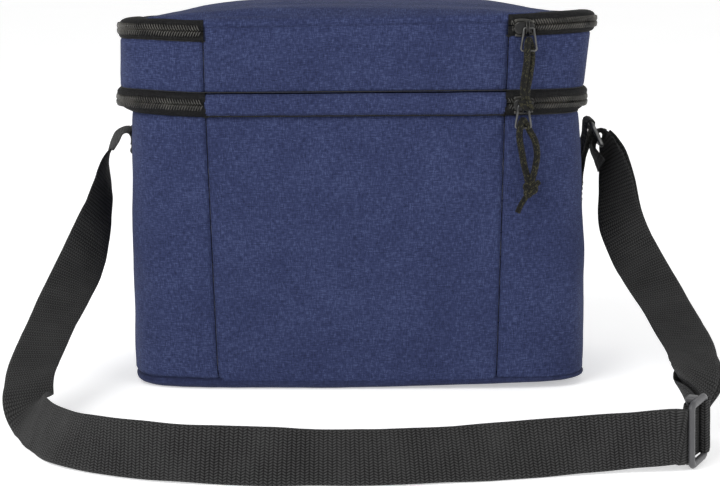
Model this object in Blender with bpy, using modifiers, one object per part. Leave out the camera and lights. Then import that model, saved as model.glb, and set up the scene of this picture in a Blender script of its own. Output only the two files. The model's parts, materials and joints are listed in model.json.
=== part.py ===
"""Two-compartment insulated cooler bag with coil zips and a webbing shoulder strap.

Frame: origin at the centre of the underside, +X to the right, +Y from the front
(hinge) face to the back, +Z up.  Dimensions are in millimetres; add() turns them
into metres.  Thin pieces are open sheets thickened by a Solidify modifier.
"""
import math
from collections import namedtuple

import bmesh
import bpy
import numpy as np
from mathutils import Matrix, Vector

MM = 0.001

# ---------------------------------------------------------------- plan outlines
Plan = namedtuple("Plan", "half_width half_depth corner")

LOWER = Plan(150.0, 83.0, 20.0)              # lower body
UPPER = Plan(155.0, 85.0, 22.0)              # upper compartment
CHAIN = Plan(155.2, 86.6, 24.0)              # centre line of the zip coils
LOWER_TAPE = Plan(CHAIN.half_width - 0.4, CHAIN.half_depth - 0.5, CHAIN.corner)
UPPER_TAPE = Plan(CHAIN.half_width - 0.2, CHAIN.half_depth - 0.4, CHAIN.corner)
LID = Plan(UPPER.half_width - 0.2, UPPER.half_depth + 1.0, UPPER.corner)
CORNER_STEPS = 5
COIL_CORNER_STEPS = 6

SEAM_X = 98.0                                # half width of the central hinge strip
STRIP_END = SEAM_X - 0.1                     # where the central panels stop
WRAP_END = SEAM_X + 0.2                      # where the wrapped panels stop
COIL_END = SEAM_X + 0.3                      # where the zip coils stop

# ------------------------------------------------------------------- thicknesses
GAP = 0.3                                    # clearance between neighbouring pieces
FABRIC = 1.0                                 # shell fabric with its backing
TAPE = 0.9                                   # zip tape folded with the seam
FOAM = 5.0                                   # insulation sheet
LINER = 0.8                                  # foil liner
BOARD = 2.0                                  # stiffener in the base
DIVIDER = 0.8                                # fabric under the divider foam
BINDING = 6.7                                # rim binding, measured inwards
COIL_RADIUS = 1.3

FOAM_INSET = FABRIC + GAP
LINER_INSET = FOAM_INSET + FOAM + GAP
BOARD_INSET = 2.0
BINDING_INSET = 1.5
FOAM_BELOW_LINER = 1.0                       # foam top edge below the liner top edge

# ----------------------------------------------------------------------- heights
BASE_Z = 1.0                                 # top and thickness of the underside panel
LOW_LINER_TOP = 179.0
LOW_RIM_TOP = 181.2
LOW_TOP = 181.7                              # top edge of the lower shell
LOW_ZIP = 190.0                              # closure plane of the lower zip
UP_BOTTOM = 197.0                            # bottom edge of the upper shell
UP_LINER_TOP = 230.0
UP_RIM_TOP = 231.7
UP_TOP = 232.0                               # top edge of the upper shell
UP_ZIP = 240.0                               # closure plane of the upper zip
LID_EDGE = 246.0                             # outer edge of the lid cover
COIL_OFFSET = 1.5                            # coil row from its closure plane
TAPE_OFFSET = 3.4                            # tape edge from its closure plane
LID_TAPE_OFFSET = 3.2                        # the same for the lid tape

# Lid section: (inset from the lid edge, rise above it)
LID_DOME = ((0, 0), (0.1, 1.2), (5, 3.4), (14, 5.2), (30, 6.8), (50, 8.0), (68, 8.6))
LID_CORNER_SHRINK = 0.2                      # corner radius lost per unit of inset

# --------------------------------------------------------------- sliders, pulls
SLIDER_X = 106.5                             # parked position of both sliders
SLIDER_Y = -89.15
WIRE_RADIUS = 0.75
WIRE_Y = -91.6                               # top of the puller wire, in the crown
PULL_LEN = 14.5
PULL_TILT = math.radians(5)
PULL_TOP_HALF = 3.4                          # half width of the narrow top bar
PULL_BOTTOM_HALF = 4.6                       # half width of the wide bottom bar
PULL_CORNER = 1.2
CORD_RADIUS = 2.0
TAIL_RADIUS = CORD_RADIUS * 0.9
KNOT_RADII = (4.4, 4.2, 5.2)
CROWN_HOLE_RADIUS = 1.3
CROWN_HOLE_LEN = 8.0

# ------------------------------------------------------------------------- strap
WEB = 32.0                                   # webbing width
WEB_T = 1.2                                  # webbing thickness
RETURN_WEB = WEB - 1.0                       # width of the doubled end
RETURN_LOOP_T = 1.0
LAYER_GAP = 3.6                              # centre distance of the doubled layers
RING_WIRE = 1.6                              # radius of the ring wire
RING_LEN = 16.3                              # between the two bars of a ring
RING_HALF = WEB / 2 + 2.8
RING_CORNER = 3.0
WIRE_CORNER_STEPS = 3
TAB_W = 30.0
TAB_FOOT_Z = 116                             # lower end of the sewn part of a tab
TAB_SEWN_Z = 134                             # upper end of the sewn part
FOLD_RADIUS = RING_WIRE + GAP + WEB_T / 2    # webbing centre line round a ring bar
RING_RIGHT = ((159.0, 171.0), (166.3, 156.4))    # (x, z) of the tab bar, the strap bar
RING_LEFT = ((-155.3, 168.5), (-158.3, 152.5))

# Route of the strap: centre (x, y, z) and the direction across the webbing.
# It runs from the left ring round the front of the bag to the right ring.
STRAP_LEFT = (
    ((-163, 0, 165), (0.0, 1, 0.0)),
    ((-170, -1, 158), (0.0, 1, 0.0)),
    ((-174, -3, 147), (0.03, 1, 0.0)),
    ((-177, -10, 131), (0.26, 0.96, -0.3)),
    ((-181, -25, 106), (0.51, 0.8, -0.35)),
    ((-188, -50, 81), (0.78, 0.5, -0.25)),
    ((-197, -95, 58), (0.95, 0.2, 0.0)),
    ((-204, -140, 38), (1.0, 0.0, 0.05)),
    ((-205, -176, 26), (0.86, 0.35, 0.3)),
    ((-201, -199, 14), (0.35, 0.72, 0.6)),
    ((-190, -235, 13), (0.2, 0.55, 0.8)),
    ((-164, -278, 15.5), (0.42, 0.1, 0.9)),
    ((-120, -307, 17), (0.15, 0.05, 0.98)),
    ((-67, -313, 15.5), (0.0, 0.35, 0.93)),
)
STRAP_FRONT = (
    ((0, -313, 14.5), (0.0, 0.5, 0.87)),
    ((66, -303, 14.5), (0.0, 0.5, 0.87)),
    ((130, -291, 16.5), (0.0, 0.3, 0.95)),
    ((163, -290, 19), (0.0, 0.1, 1.0)),
    ((178, -290, 20.3), (0.0, 0.0, 1.0)),
)
STRAP_RIGHT = (
    ((208, -232, 19), (-0.3, 0.0, 0.95)),
    ((207, -207, 24.5), (-0.75, 0.0, 0.62)),
    ((205, -185, 32), (-0.95, 0.1, 0.3)),
    ((203, -145, 45), (-1.0, 0.05, 0.0)),
    ((196, -95, 62), (-1.0, 0.1, -0.05)),
    ((186, -50, 84), (-0.9, 0.35, -0.2)),
    ((178.5, -27, 106), (-0.83, 0.5, -0.25)),
    ((176.5, -12, 131), (-0.6, 0.78, -0.2)),
    ((175.5, -4, 148), (-0.15, 1, 0.0)),
    ((173.2, -1, 158), (0.0, 1, 0.0)),
)
STRAP_STEPS = 3                              # spline steps between stations

# ---------------------------------------------------------------- slide adjuster
ADJ_POINT = (193.6, -272.0, 20.8)            # centre
ADJ_DIR = Vector((0.47, 0.883, 0.0)).normalized()    # along the webbing, away from the front run
ADJ_STATIONS = (-19, -9, 5, 16, 25, 32)      # strap stations along ADJ_DIR
RETURN_STATION = 4                           # station where the doubled end begins
ADJ_LEN = 27.0
ADJ_HEIGHT = 40.4
ADJ_DEPTH = 6.4
ADJ_OPENING_HALF = 16.6                      # half height between the rails
RAIL_OFFSET = -0.8                           # rails towards the bag
END_BAR = 4.6
CENTRE_BAR = 4.2
BAR_T = 1.4
BAR_HEIGHT = 35.0

# Side view of the return loop: (along ADJ_DIR, away from the bag)
RETURN_LOOP = (
    (15.0, -6.6), (5.0, -5.6), (-1.0, -5.2), (-3.2, -4.4), (-3.6, -3.0), (-2.8, -1.9),
    (-1.5, -1.6), (1.5, -1.6), (3.4, -2.0), (7.0, -3.6), (13.0, -4.8),
)


def pull_bar(zip_z):
    """Centre of the lower bar of the puller wire, where the cord is threaded."""
    return (
        SLIDER_X,
        WIRE_Y - PULL_LEN * math.sin(PULL_TILT),
        zip_z - PULL_LEN * math.cos(PULL_TILT),
    )


# Joint origin of each moving group
BODY_ORIGINS = {
    "root": (0, 0, 0),
    "upper_compartment": (0, -88.2, 196.9),  # fold line above the hinge band
    "lid": (0, -88.0, 245.9),                # fold line at the front edge of the lid
    "strap": (0, 0, 155.0),
    "adjuster": ADJ_POINT,
    "upper_slider": (SLIDER_X, SLIDER_Y, UP_ZIP),
    "lower_slider": (SLIDER_X, SLIDER_Y, LOW_ZIP),
    "upper_pull": (SLIDER_X, WIRE_Y, UP_ZIP),
    "lower_pull": (SLIDER_X, WIRE_Y, LOW_ZIP),
    "upper_cord": pull_bar(UP_ZIP),
    "lower_cord": pull_bar(LOW_ZIP),
}

# ------------------------------------------------------------------- scene set-up
for old in list(bpy.data.objects):
    bpy.data.objects.remove(old, do_unlink=True)

bag = bpy.data.collections.new("insulated_cooler_bag")
cutters = bpy.data.collections.new("cutters")
bpy.context.scene.collection.children.link(bag)
bpy.context.scene.collection.children.link(cutters)


def material(name, rgb, roughness, metallic=0.0):
    mat = bpy.data.materials.new(name)
    mat.use_nodes = True
    bsdf = mat.node_tree.nodes["Principled BSDF"]
    bsdf.inputs["Base Color"].default_value = (*rgb, 1.0)
    bsdf.inputs["Roughness"].default_value = roughness
    bsdf.inputs["Metallic"].default_value = metallic
    mat.diffuse_color = (*rgb, 1.0)
    return mat


NAVY = material("navy_melange_polyester", rgb=(0.045, 0.055, 0.14), roughness=0.85)
BLACK_TAPE = material("black_zip_tape", rgb=(0.012, 0.012, 0.012), roughness=0.7)
COIL_MAT = material("black_nylon_coil", rgb=(0.015, 0.015, 0.015), roughness=0.4)
FOAM_MAT = material("white_pe_foam", rgb=(0.8, 0.8, 0.78), roughness=0.9)
FOIL = material("silver_foil_liner", rgb=(0.7, 0.71, 0.72), roughness=0.3, metallic=0.8)
BOARD_MAT = material("grey_base_board", rgb=(0.25, 0.25, 0.25), roughness=0.8)
WEBBING = material("black_pp_webbing", rgb=(0.02, 0.02, 0.02), roughness=0.75)
PLASTIC = material("black_acetal", rgb=(0.02, 0.02, 0.02), roughness=0.4)
METAL = material("gunmetal_alloy", rgb=(0.08, 0.08, 0.08), roughness=0.35, metallic=0.9)
CORD_MAT = material("braided_cord", rgb=(0.02, 0.02, 0.017), roughness=0.8)


def empty(name, at):
    obj = bpy.data.objects.new(name, None)
    obj.empty_display_size = 0.02
    obj.location = Vector(at) * MM
    bag.objects.link(obj)
    return obj


AXES = {body: empty("axis_" + body, at) for body, at in BODY_ORIGINS.items()}


# ------------------------------------------------------------- objects and meshes
def add(name, mesh, mat, body="root"):
    """Place a mesh given in world millimetres under the empty of its body."""
    parent = AXES[body]
    mesh.transform(Matrix.Scale(MM, 4))
    mesh.transform(Matrix.Translation(-parent.location))
    mesh.materials.clear()
    mesh.materials.append(mat)
    obj = bpy.data.objects.new(name, mesh)
    obj.parent = parent
    bag.objects.link(obj)
    return obj


def finish(bm, name):
    mesh = bpy.data.meshes.new(name)
    bm.to_mesh(mesh)
    bm.free()
    return mesh


def as_cutter(obj):
    """Move an object to the helpers used by Boolean modifiers."""
    bag.objects.unlink(obj)
    cutters.objects.link(obj)
    obj.hide_render = True
    obj.display_type = "WIRE"
    return obj


def boolean(target, operation, other):
    mod = target.modifiers.new(operation.lower(), "BOOLEAN")
    mod.operation = operation
    mod.solver = "EXACT"
    mod.object = other
    return mod


def box_mesh(name, size, bevel, placement):
    """Box with chamfered edges, placed by a matrix."""
    bm = bmesh.new()
    bmesh.ops.create_cube(bm, size=1.0)
    bmesh.ops.scale(bm, vec=size, verts=bm.verts)
    bmesh.ops.bevel(bm, geom=bm.edges[:], offset=bevel, segments=1, affect="EDGES")
    bm.transform(placement)
    return finish(bm, name)


def loft(name, rows, mat, thickness, body="root", closed=False, cap=False,
         offset=-1.0, even=True):
    """Thickened sheet through rows of points, each row extruded from the one before."""
    bm = bmesh.new()
    row = [bm.verts.new(point) for point in rows[0]]
    edges = [bm.edges.new(pair) for pair in zip(row, row[1:])]
    if closed:
        edges.append(bm.edges.new((row[-1], row[0])))
    for points in rows[1:]:
        made = bmesh.ops.extrude_edge_only(bm, edges=edges)["geom"]
        below = set(row)
        edges = [e for e in made if isinstance(e, bmesh.types.BMEdge) and not below & set(e.verts)]
        # The rungs of the new faces pair each old vertex with its copy.
        above = {}
        for face in (f for f in made if isinstance(f, bmesh.types.BMFace)):
            for edge in face.edges:
                first, second = edge.verts
                if first in below and second not in below:
                    above[first] = second
                elif second in below and first not in below:
                    above[second] = first
        row = [above[vert] for vert in row]
        for vert, point in zip(row, points):
            vert.co = point
    if cap:
        bm.faces.new(row)
    bmesh.ops.recalc_face_normals(bm, faces=bm.faces)
    obj = add(name, finish(bm, name), mat, body)
    mod = obj.modifiers.new("thickness", "SOLIDIFY")
    mod.thickness = thickness * MM
    mod.offset = offset
    mod.use_even_offset = even
    mod.use_rim = True
    return obj


def face_towards(obj, direction=None):
    """Turn a sheet to face a direction, by default away from the bag's vertical axis."""
    total = 0.0
    for face in obj.data.polygons:
        centre = face.center
        wanted = direction or Vector((centre.x, centre.y + obj.parent.location.y, 0))
        total += face.area * Vector(face.normal).dot(wanted)
    if total < 0:
        obj.data.flip_normals()


def tube(name, points, radius, mat, body="root", cyclic=False):
    """Wire or cord along points, as a mesh with welded caps."""
    curve = bpy.data.curves.new(name, "CURVE")
    curve.dimensions = "3D"
    curve.bevel_depth = radius
    curve.bevel_resolution = 1
    curve.use_fill_caps = not cyclic
    spline = curve.splines.new("POLY")
    spline.points.add(len(points) - 1)
    for spline_point, point in zip(spline.points, points):
        spline_point.co = (*point, 1.0)
    spline.use_cyclic_u = cyclic
    temp = bpy.data.objects.new(name + "_curve", curve)
    bag.objects.link(temp)
    bpy.context.view_layer.update()
    graph = bpy.context.evaluated_depsgraph_get()
    mesh = bpy.data.meshes.new_from_object(temp.evaluated_get(graph))
    bpy.data.objects.remove(temp)
    bm = bmesh.new()
    bm.from_mesh(mesh)
    bmesh.ops.remove_doubles(bm, verts=bm.verts, dist=0.001)
    bmesh.ops.recalc_face_normals(bm, faces=bm.faces)
    bm.to_mesh(mesh)
    bm.free()
    mesh.name = name
    obj = add(name, mesh, mat, body)
    mesh.shade_smooth()
    return obj


# ---------------------------------------------------------------------- outlines
def arc(centre_x, centre_y, radius, start, end, steps):
    """Points of an arc between two angles in degrees, both ends included."""
    points = []
    for i in range(steps + 1):
        angle = math.radians(start + (end - start) * i / steps)
        points.append((centre_x + radius * math.cos(angle), centre_y + radius * math.sin(angle)))
    return points


def corner_loop(corners, radius, steps):
    """Quarter arcs in turn; corners are (centre x, centre y, start angle)."""
    return [point for x, y, start in corners
            for point in arc(x, y, radius, start, start + 90, steps)]


def outline(plan, steps=CORNER_STEPS):
    """Closed rounded rectangle, anticlockwise seen from above, from its front right corner."""
    x, y = plan.half_width - plan.corner, plan.half_depth - plan.corner
    corners = ((x, -y, 270), (x, y, 0), (-x, y, 90), (-x, -y, 180))
    return corner_loop(corners, plan.corner, steps)


def wrap_outline(plan, x_end, steps=CORNER_STEPS):
    """From the right end of the hinge face, round the back, to its left end."""
    front = -plan.half_depth
    return [(x_end, front)] + outline(plan, steps) + [(-x_end, front)]


def inset(plan, distance):
    return Plan(*(size - distance for size in plan))


def level(points, z):
    return [(x, y, z) for x, y in points]


# ------------------------------------------------------------------ sheet pieces
def wrap(name, lower, upper, thickness, mat, body="root"):
    """Sheet round three sides between two (plan, z), open at the central strip."""
    rows = [level(wrap_outline(plan, WRAP_END), z) for plan, z in (lower, upper)]
    face_towards(loft(name, rows, mat, thickness, body))


def panel(name, profile, thickness, mat, body="root"):
    """Central strip of the front: profile is (y, z) points from bottom to top."""
    rows = [[(-STRIP_END, y, z), (STRIP_END, y, z)] for y, z in profile]
    face_towards(loft(name, rows, mat, thickness, body), Vector((0, -1, 0)))


def plate(name, plan, z_top, thickness, mat, body="root"):
    rows = [level(outline(plan), z_top)]
    obj = loft(name, rows, mat, thickness, body, closed=True, cap=True)
    face_towards(obj, Vector((0, 0, 1)))


def sleeve(name, plan, z_start, z_end, thickness, mat, body="root", cap=False):
    """Closed upright wall, thickened inwards; cap adds a floor at z_end."""
    rows = [level(outline(plan), z) for z in (z_start, z_end)]
    face_towards(loft(name, rows, mat, thickness, body, closed=True, cap=cap))


def insulation(tag, floor_name, plan, z_bottom, liner_top, rim_top, body):
    """Foam walls and floor, foil liner and rim binding of one compartment."""
    foam_plan, liner_plan = inset(plan, FOAM_INSET), inset(plan, LINER_INSET)
    foam_top = liner_top - FOAM_BELOW_LINER
    floor_top = z_bottom + FOAM
    front = -foam_plan.half_depth
    wrap(tag + "_wrap_foam", (foam_plan, z_bottom), (foam_plan, foam_top), FOAM, FOAM_MAT, body)
    panel(tag + "_center_foam", [(front, z_bottom), (front, foam_top)], FOAM, FOAM_MAT, body)
    plate(floor_name, liner_plan, floor_top, FOAM, FOAM_MAT, body)
    sleeve(tag + "_liner", liner_plan, liner_top, floor_top + GAP, LINER, FOIL, body, cap=True)
    sleeve(tag + "_rim_binding", inset(plan, BINDING_INSET), liner_top + GAP, rim_top,
           BINDING, BLACK_TAPE, body)


def zip_half(name, coil_z, tape_lower, tape_upper, body):
    """One coil row and the tape that joins it to a shell edge."""
    path = wrap_outline(CHAIN, COIL_END, COIL_CORNER_STEPS)
    tube(name + "_coil", level(path, coil_z), COIL_RADIUS, COIL_MAT, body)
    wrap(name + "_tape", tape_lower, tape_upper, TAPE, BLACK_TAPE, body)


# ------------------------------------------------------------------- lower body
def lower_body():
    front = -LOWER.half_depth
    shell_bottom = BASE_Z + GAP
    board_top = shell_bottom + BOARD
    plate("base_panel", LOWER, BASE_Z, BASE_Z, NAVY)
    plate("base_board", inset(LOWER, BOARD_INSET), board_top, BOARD, BOARD_MAT)
    wrap("lower_wrap_panel", (LOWER, shell_bottom), (LOWER, LOW_TOP), FABRIC, NAVY)
    panel("lower_center_panel", [(front, shell_bottom), (front, LOW_TOP)], FABRIC, NAVY)
    insulation("lower", "base_foam", LOWER, board_top + GAP, LOW_LINER_TOP, LOW_RIM_TOP, "root")
    zip_half("lower_zip_lower", LOW_ZIP - COIL_OFFSET, (LOWER, LOW_TOP + GAP),
             (LOWER_TAPE, LOW_ZIP - TAPE_OFFSET), "root")
    hinge_profile = [(front, LOW_TOP + GAP), (front - 2.6, 184.6), (front - 3.8, 189.4),
                     (front - 3.2, 194.0), (-UPPER.half_depth, UP_BOTTOM - GAP)]
    panel("hinge_band", hinge_profile, TAPE, NAVY)


# ------------------------------------------------------------- upper compartment
def upper_compartment():
    body = "upper_compartment"
    front = -UPPER.half_depth
    divider_top = UP_BOTTOM + GAP + DIVIDER
    zip_half("lower_zip_upper", LOW_ZIP + COIL_OFFSET, (LOWER_TAPE, LOW_ZIP + TAPE_OFFSET),
             (UPPER, UP_BOTTOM - GAP), body)
    wrap("upper_wrap_panel", (UPPER, UP_BOTTOM), (UPPER, UP_TOP), FABRIC, NAVY, body)
    # The central panel runs on past the upper zip to the front edge of the lid.
    profile = [(front, UP_BOTTOM), (front, UP_TOP), (front - 1.6, 238.0),
               (front - 2.2, 242.0), (front - 1.7, LID_EDGE - GAP)]
    panel("upper_center_panel", profile, FABRIC, NAVY, body)
    plate("divider_cover", inset(UPPER, FOAM_INSET), divider_top, DIVIDER, NAVY, body)
    insulation("upper", "divider_foam", UPPER, divider_top + GAP, UP_LINER_TOP, UP_RIM_TOP, body)
    zip_half("upper_zip_lower", UP_ZIP - COIL_OFFSET, (UPPER, UP_TOP + GAP),
             (UPPER_TAPE, UP_ZIP - TAPE_OFFSET), body)


# --------------------------------------------------------------------------- lid
def dome(name, edge_inset, drop, thickness, mat):
    """Domed sheet that follows the lid, inset from its edge and set below it."""
    edge_rise = float(np.interp(edge_inset, *zip(*LID_DOME)))
    section = [(edge_inset, edge_rise)]
    section += [(distance, rise) for distance, rise in LID_DOME if distance > edge_inset]
    rows = []
    for distance, rise in section:
        plan = Plan(LID.half_width - distance, LID.half_depth - distance,
                    LID.corner - distance * LID_CORNER_SHRINK)
        rows.append(level(outline(plan), LID_EDGE + rise - drop))
    obj = loft(name, rows, mat, thickness, "lid", closed=True, cap=True)
    face_towards(obj, Vector((0, 0, 1)))


def lid():
    zip_half("upper_zip_upper", UP_ZIP + COIL_OFFSET, (UPPER_TAPE, UP_ZIP + LID_TAPE_OFFSET),
             (LID, LID_EDGE - GAP), "lid")
    dome("lid_cover", edge_inset=0.0, drop=0.0, thickness=FABRIC, mat=NAVY)
    dome("lid_foam", edge_inset=8.0, drop=1.5, thickness=FOAM, mat=FOAM_MAT)
    dome("lid_liner", edge_inset=9.0, drop=7.0, thickness=LINER, mat=FOIL)


# ------------------------------------------------------------- tabs, rings, loops
def strip_along(name, path, width, closed=False):
    """Webbing whose side view is path, (x, z) points, spread along Y."""
    rows = [[(x, y, z) for x, z in path] for y in (-width / 2, width / 2)]
    loft(name, rows, WEBBING, WEB_T, closed=closed, offset=0.0)


def strap_tab(name, side, bar):
    """Webbing tab on the side panel, folded over the inner bar of a ring."""
    inner = LOWER.half_width + GAP + WEB_T / 2
    outer = LOWER.half_width + GAP + WEB_T * 1.5 + 0.4
    x, z = abs(bar[0]), bar[1]
    path = [(inner, TAB_FOOT_Z), (inner, TAB_SEWN_Z)]
    path += arc(x, z, FOLD_RADIUS, 180, 0, 6)
    path += [(x - FOLD_RADIUS + 1.8, z - 7), (outer, TAB_SEWN_Z), (outer, TAB_FOOT_Z)]
    strip_along(name, [(side * px, pz) for px, pz in path], TAB_W)


def strap_ring(name, bars):
    """Rectangular wire ring; its bars run along Y."""
    (x1, z1), (x2, z2) = bars
    along = Vector((x2 - x1, 0, z2 - z1)).normalized()
    start = Vector((x1, 0, z1))
    near, far = RING_CORNER, RING_LEN - RING_CORNER
    side = RING_HALF - RING_CORNER
    corners = ((near, side, 90), (near, -side, 180), (far, -side, 270), (far, side, 0))
    points = [tuple(start + along * down + Vector((0, y, 0)))
              for down, y in corner_loop(corners, RING_CORNER, WIRE_CORNER_STEPS)]
    tube(name, points, RING_WIRE, METAL, cyclic=True)


def strap_fittings():
    for tag, side, bars in (("left", -1, RING_LEFT), ("right", 1, RING_RIGHT)):
        tab_bar, strap_bar = bars
        strap_tab("strap_tab_" + tag, side, tab_bar)
        strap_ring("strap_ring_" + tag, bars)
        strip_along("strap_end_loop_" + tag, arc(*strap_bar, FOLD_RADIUS, 0, 330, 11),
                    WEB, closed=True)


# ------------------------------------------------------------------------- strap
def catmull_rom(values, steps):
    """Catmull-Rom spline through vectors, with its end values doubled."""
    out = []
    last = len(values) - 1
    for i in range(last):
        p0, p1 = values[max(i - 1, 0)], values[i]
        p2, p3 = values[i + 1], values[min(i + 2, last)]
        for k in range(steps):
            t = k / steps
            out.append(0.5 * (2 * p1 + (p2 - p0) * t + (2 * p0 - 5 * p1 + 4 * p2 - p3) * t * t
                              + (3 * p1 - p0 - 3 * p2 + p3) * t * t * t))
    out.append(values[-1])
    return out


def sampled(stations):
    """Centre, across and face direction at points along a list of stations."""
    centres = catmull_rom([Vector(centre) for centre, _ in stations], STRAP_STEPS)
    across = catmull_rom([Vector(width).normalized() for _, width in stations], STRAP_STEPS)
    across = [width.normalized() for width in across]
    faces = []
    for i, width in enumerate(across):
        ahead = centres[min(i + 1, len(centres) - 1)] - centres[max(i - 1, 0)]
        faces.append(ahead.cross(width).normalized())
    return centres, across, faces


def ribbon(name, centres, across, width):
    rows = [[tuple(c + w * side * width / 2) for c, w in zip(centres, across)]
            for side in (1, -1)]
    loft(name, rows, WEBBING, WEB_T, "strap", offset=0.0, even=False)


def strap():
    before_adjuster = STRAP_LEFT + STRAP_FRONT
    through_adjuster = tuple((Vector(ADJ_POINT) + ADJ_DIR * s, (0, 0, 1)) for s in ADJ_STATIONS)
    centres, across, faces = sampled(before_adjuster + through_adjuster + STRAP_RIGHT)
    ribbon("strap_webbing", centres, across, WEB)

    # The doubled end leaves the bag side of the adjuster and follows the right
    # run at a constant distance.
    start = STRAP_STEPS * (len(before_adjuster) + RETURN_STATION)
    doubled = [c - face * LAYER_GAP for c, face in zip(centres[start:], faces[start:])]
    ribbon("strap_return_webbing", doubled, across[start:], RETURN_WEB)


# ---------------------------------------------------------------------- adjuster
# Local axes: along the webbing, away from the bag, up.  The frame is left-handed.
ADJ_FRAME = Matrix((
    (ADJ_DIR.x, ADJ_DIR.y, 0, ADJ_POINT[0]),
    (ADJ_DIR.y, -ADJ_DIR.x, 0, ADJ_POINT[1]),
    (0, 0, 1, ADJ_POINT[2]),
    (0, 0, 0, 1),
))


def adjuster():
    """Two rails joined by two end bars and a centre bar set towards the bag."""
    rail_z = (ADJ_HEIGHT / 2 + ADJ_OPENING_HALF) / 2
    rail = (ADJ_LEN, ADJ_DEPTH, ADJ_HEIGHT / 2 - ADJ_OPENING_HALF)
    end_bar = (END_BAR, BAR_T, BAR_HEIGHT)
    end_bar_x = ADJ_LEN / 2 - END_BAR / 2 - 0.2
    upper_rail = box_mesh("strap_adjuster", rail, 0.8,
                          ADJ_FRAME @ Matrix.Translation((0, RAIL_OFFSET, rail_z)))
    obj = add("strap_adjuster", upper_rail, PLASTIC, "adjuster")
    parts = (
        (rail, (0, RAIL_OFFSET, -rail_z)),
        (end_bar, (-end_bar_x, 1.5, 0)),
        (end_bar, (end_bar_x, 1.5, 0)),
        ((CENTRE_BAR, BAR_T, BAR_HEIGHT), (0, -3.0, 0)),
    )
    for i, (size, at) in enumerate(parts):
        mesh = box_mesh("bar", size, 0.4, ADJ_FRAME @ Matrix.Translation(at))
        boolean(obj, "UNION", as_cutter(add(f"adjuster_bar_{i}", mesh, PLASTIC, "adjuster")))


def return_loop():
    """Sewn end of the webbing, folded round the centre bar of the adjuster."""
    rows = [[tuple(ADJ_FRAME @ Vector((along, out, z))) for along, out in RETURN_LOOP]
            for z in (-RETURN_WEB / 2, RETURN_WEB / 2)]
    loft("strap_return_loop", rows, WEBBING, RETURN_LOOP_T, "adjuster", offset=0.0)


# ---------------------------------------------------------------- sliders, pulls
def slider(name, zip_z):
    """Slider: outer plate and a crown with a hole for the puller wire."""
    outer_plate = box_mesh(name, (14.5, 1.5, 10.0), 0.5,
                           Matrix.Translation((SLIDER_X, SLIDER_Y, zip_z)))
    obj = add(name, outer_plate, METAL, name)
    crown_at = Matrix.Translation((SLIDER_X, WIRE_Y, zip_z))
    crown_mesh = box_mesh("crown", (2.6, 4.6, 8.0), 0.7, crown_at)
    crown = as_cutter(add(name + "_crown", crown_mesh, PLASTIC, name))
    bm = bmesh.new()
    bmesh.ops.create_cone(bm, cap_ends=True, segments=12, radius1=CROWN_HOLE_RADIUS,
                          radius2=CROWN_HOLE_RADIUS, depth=CROWN_HOLE_LEN)
    bm.transform(crown_at @ Matrix.Rotation(math.pi / 2, 4, "Y"))
    hole = as_cutter(add(name + "_hole", finish(bm, "hole"), PLASTIC, name))
    boolean(obj, "UNION", crown)
    boolean(obj, "DIFFERENCE", hole)


def pull_wire(name, zip_z, body):
    """Trapezoid wire loop: narrow bar in the crown, wide bar for the cord."""
    top, bottom = PULL_TOP_HALF - PULL_CORNER, PULL_BOTTOM_HALF - PULL_CORNER
    high, low = -PULL_CORNER, -PULL_LEN + PULL_CORNER
    corners = ((top, high, 0), (-top, high, 90), (-bottom, low, 180), (bottom, low, 270))
    points = [(SLIDER_X + x, WIRE_Y + rise * math.sin(PULL_TILT),
               zip_z + rise * math.cos(PULL_TILT))
              for x, rise in corner_loop(corners, PULL_CORNER, WIRE_CORNER_STEPS)]
    tube(name, points, WIRE_RADIUS, METAL, body, cyclic=True)


def cord(name, zip_z, body, drop, knot_y, spread, tail):
    """Cord threaded over the wire bar, both strands tied in one knot below.

    drop and knot_y place the knot from the bar; tail is the length left below it.
    """
    bar = Vector(pull_bar(zip_z))

    def from_bar(offsets):
        return [tuple(bar + Vector(offset)) for offset in offsets]

    strand = [
        (0, knot_y, -drop),
        (-spread * 0.55, knot_y * 0.6 - 1.2, -drop * 0.62),
        (-spread, -3.0, -drop * 0.3),
        (-1.6, -3.3, -3.5), (-0.8, -2.9, 0.2), (-0.3, -1.6, 2.6),
        (0.3, 1.6, 2.6), (0.8, 2.9, 0.2), (1.6, 3.1, -3.5),
        (spread, 1.6, -drop * 0.3),
        (spread * 0.55, knot_y * 0.6 + 1.2, -drop * 0.62),
        (0.6, knot_y + 0.2, -drop - 0.4),
    ]
    obj = tube(name, from_bar(strand), CORD_RADIUS, CORD_MAT, body)
    bm = bmesh.new()
    bmesh.ops.create_uvsphere(bm, u_segments=10, v_segments=8, radius=1.0)
    bmesh.ops.scale(bm, vec=KNOT_RADII, verts=bm.verts)
    bm.transform(Matrix.Translation(bar + Vector((0, knot_y, -drop))))
    parts = [add(name + "_knot", finish(bm, "knot"), PLASTIC, body)]
    if tail:
        ends = [(0, knot_y, -drop - 1), (-1.5, knot_y, -drop - 8),
                (-3.5, knot_y + 0.5, -drop - tail)]
        parts.append(tube(name + "_tail", from_bar(ends), TAIL_RADIUS, CORD_MAT, body))
    for part in parts:
        boolean(obj, "UNION", as_cutter(part)).use_self = True


def pulls():
    for tag, zip_z in (("upper", UP_ZIP), ("lower", LOW_ZIP)):
        slider(tag + "_slider", zip_z)
        pull_wire(tag + "_pull_wire", zip_z, tag + "_pull")
    cord("upper_pull_cord", UP_ZIP, "upper_cord", drop=35.0, knot_y=-7.0, spread=2.6, tail=0)
    cord("lower_pull_cord", LOW_ZIP, "lower_cord", drop=41.0, knot_y=-1.0, spread=4.4, tail=19.0)


lower_body()
upper_compartment()
lid()
strap_fittings()
strap()
adjuster()
return_loop()
pulls()
bpy.context.view_layer.update()
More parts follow.
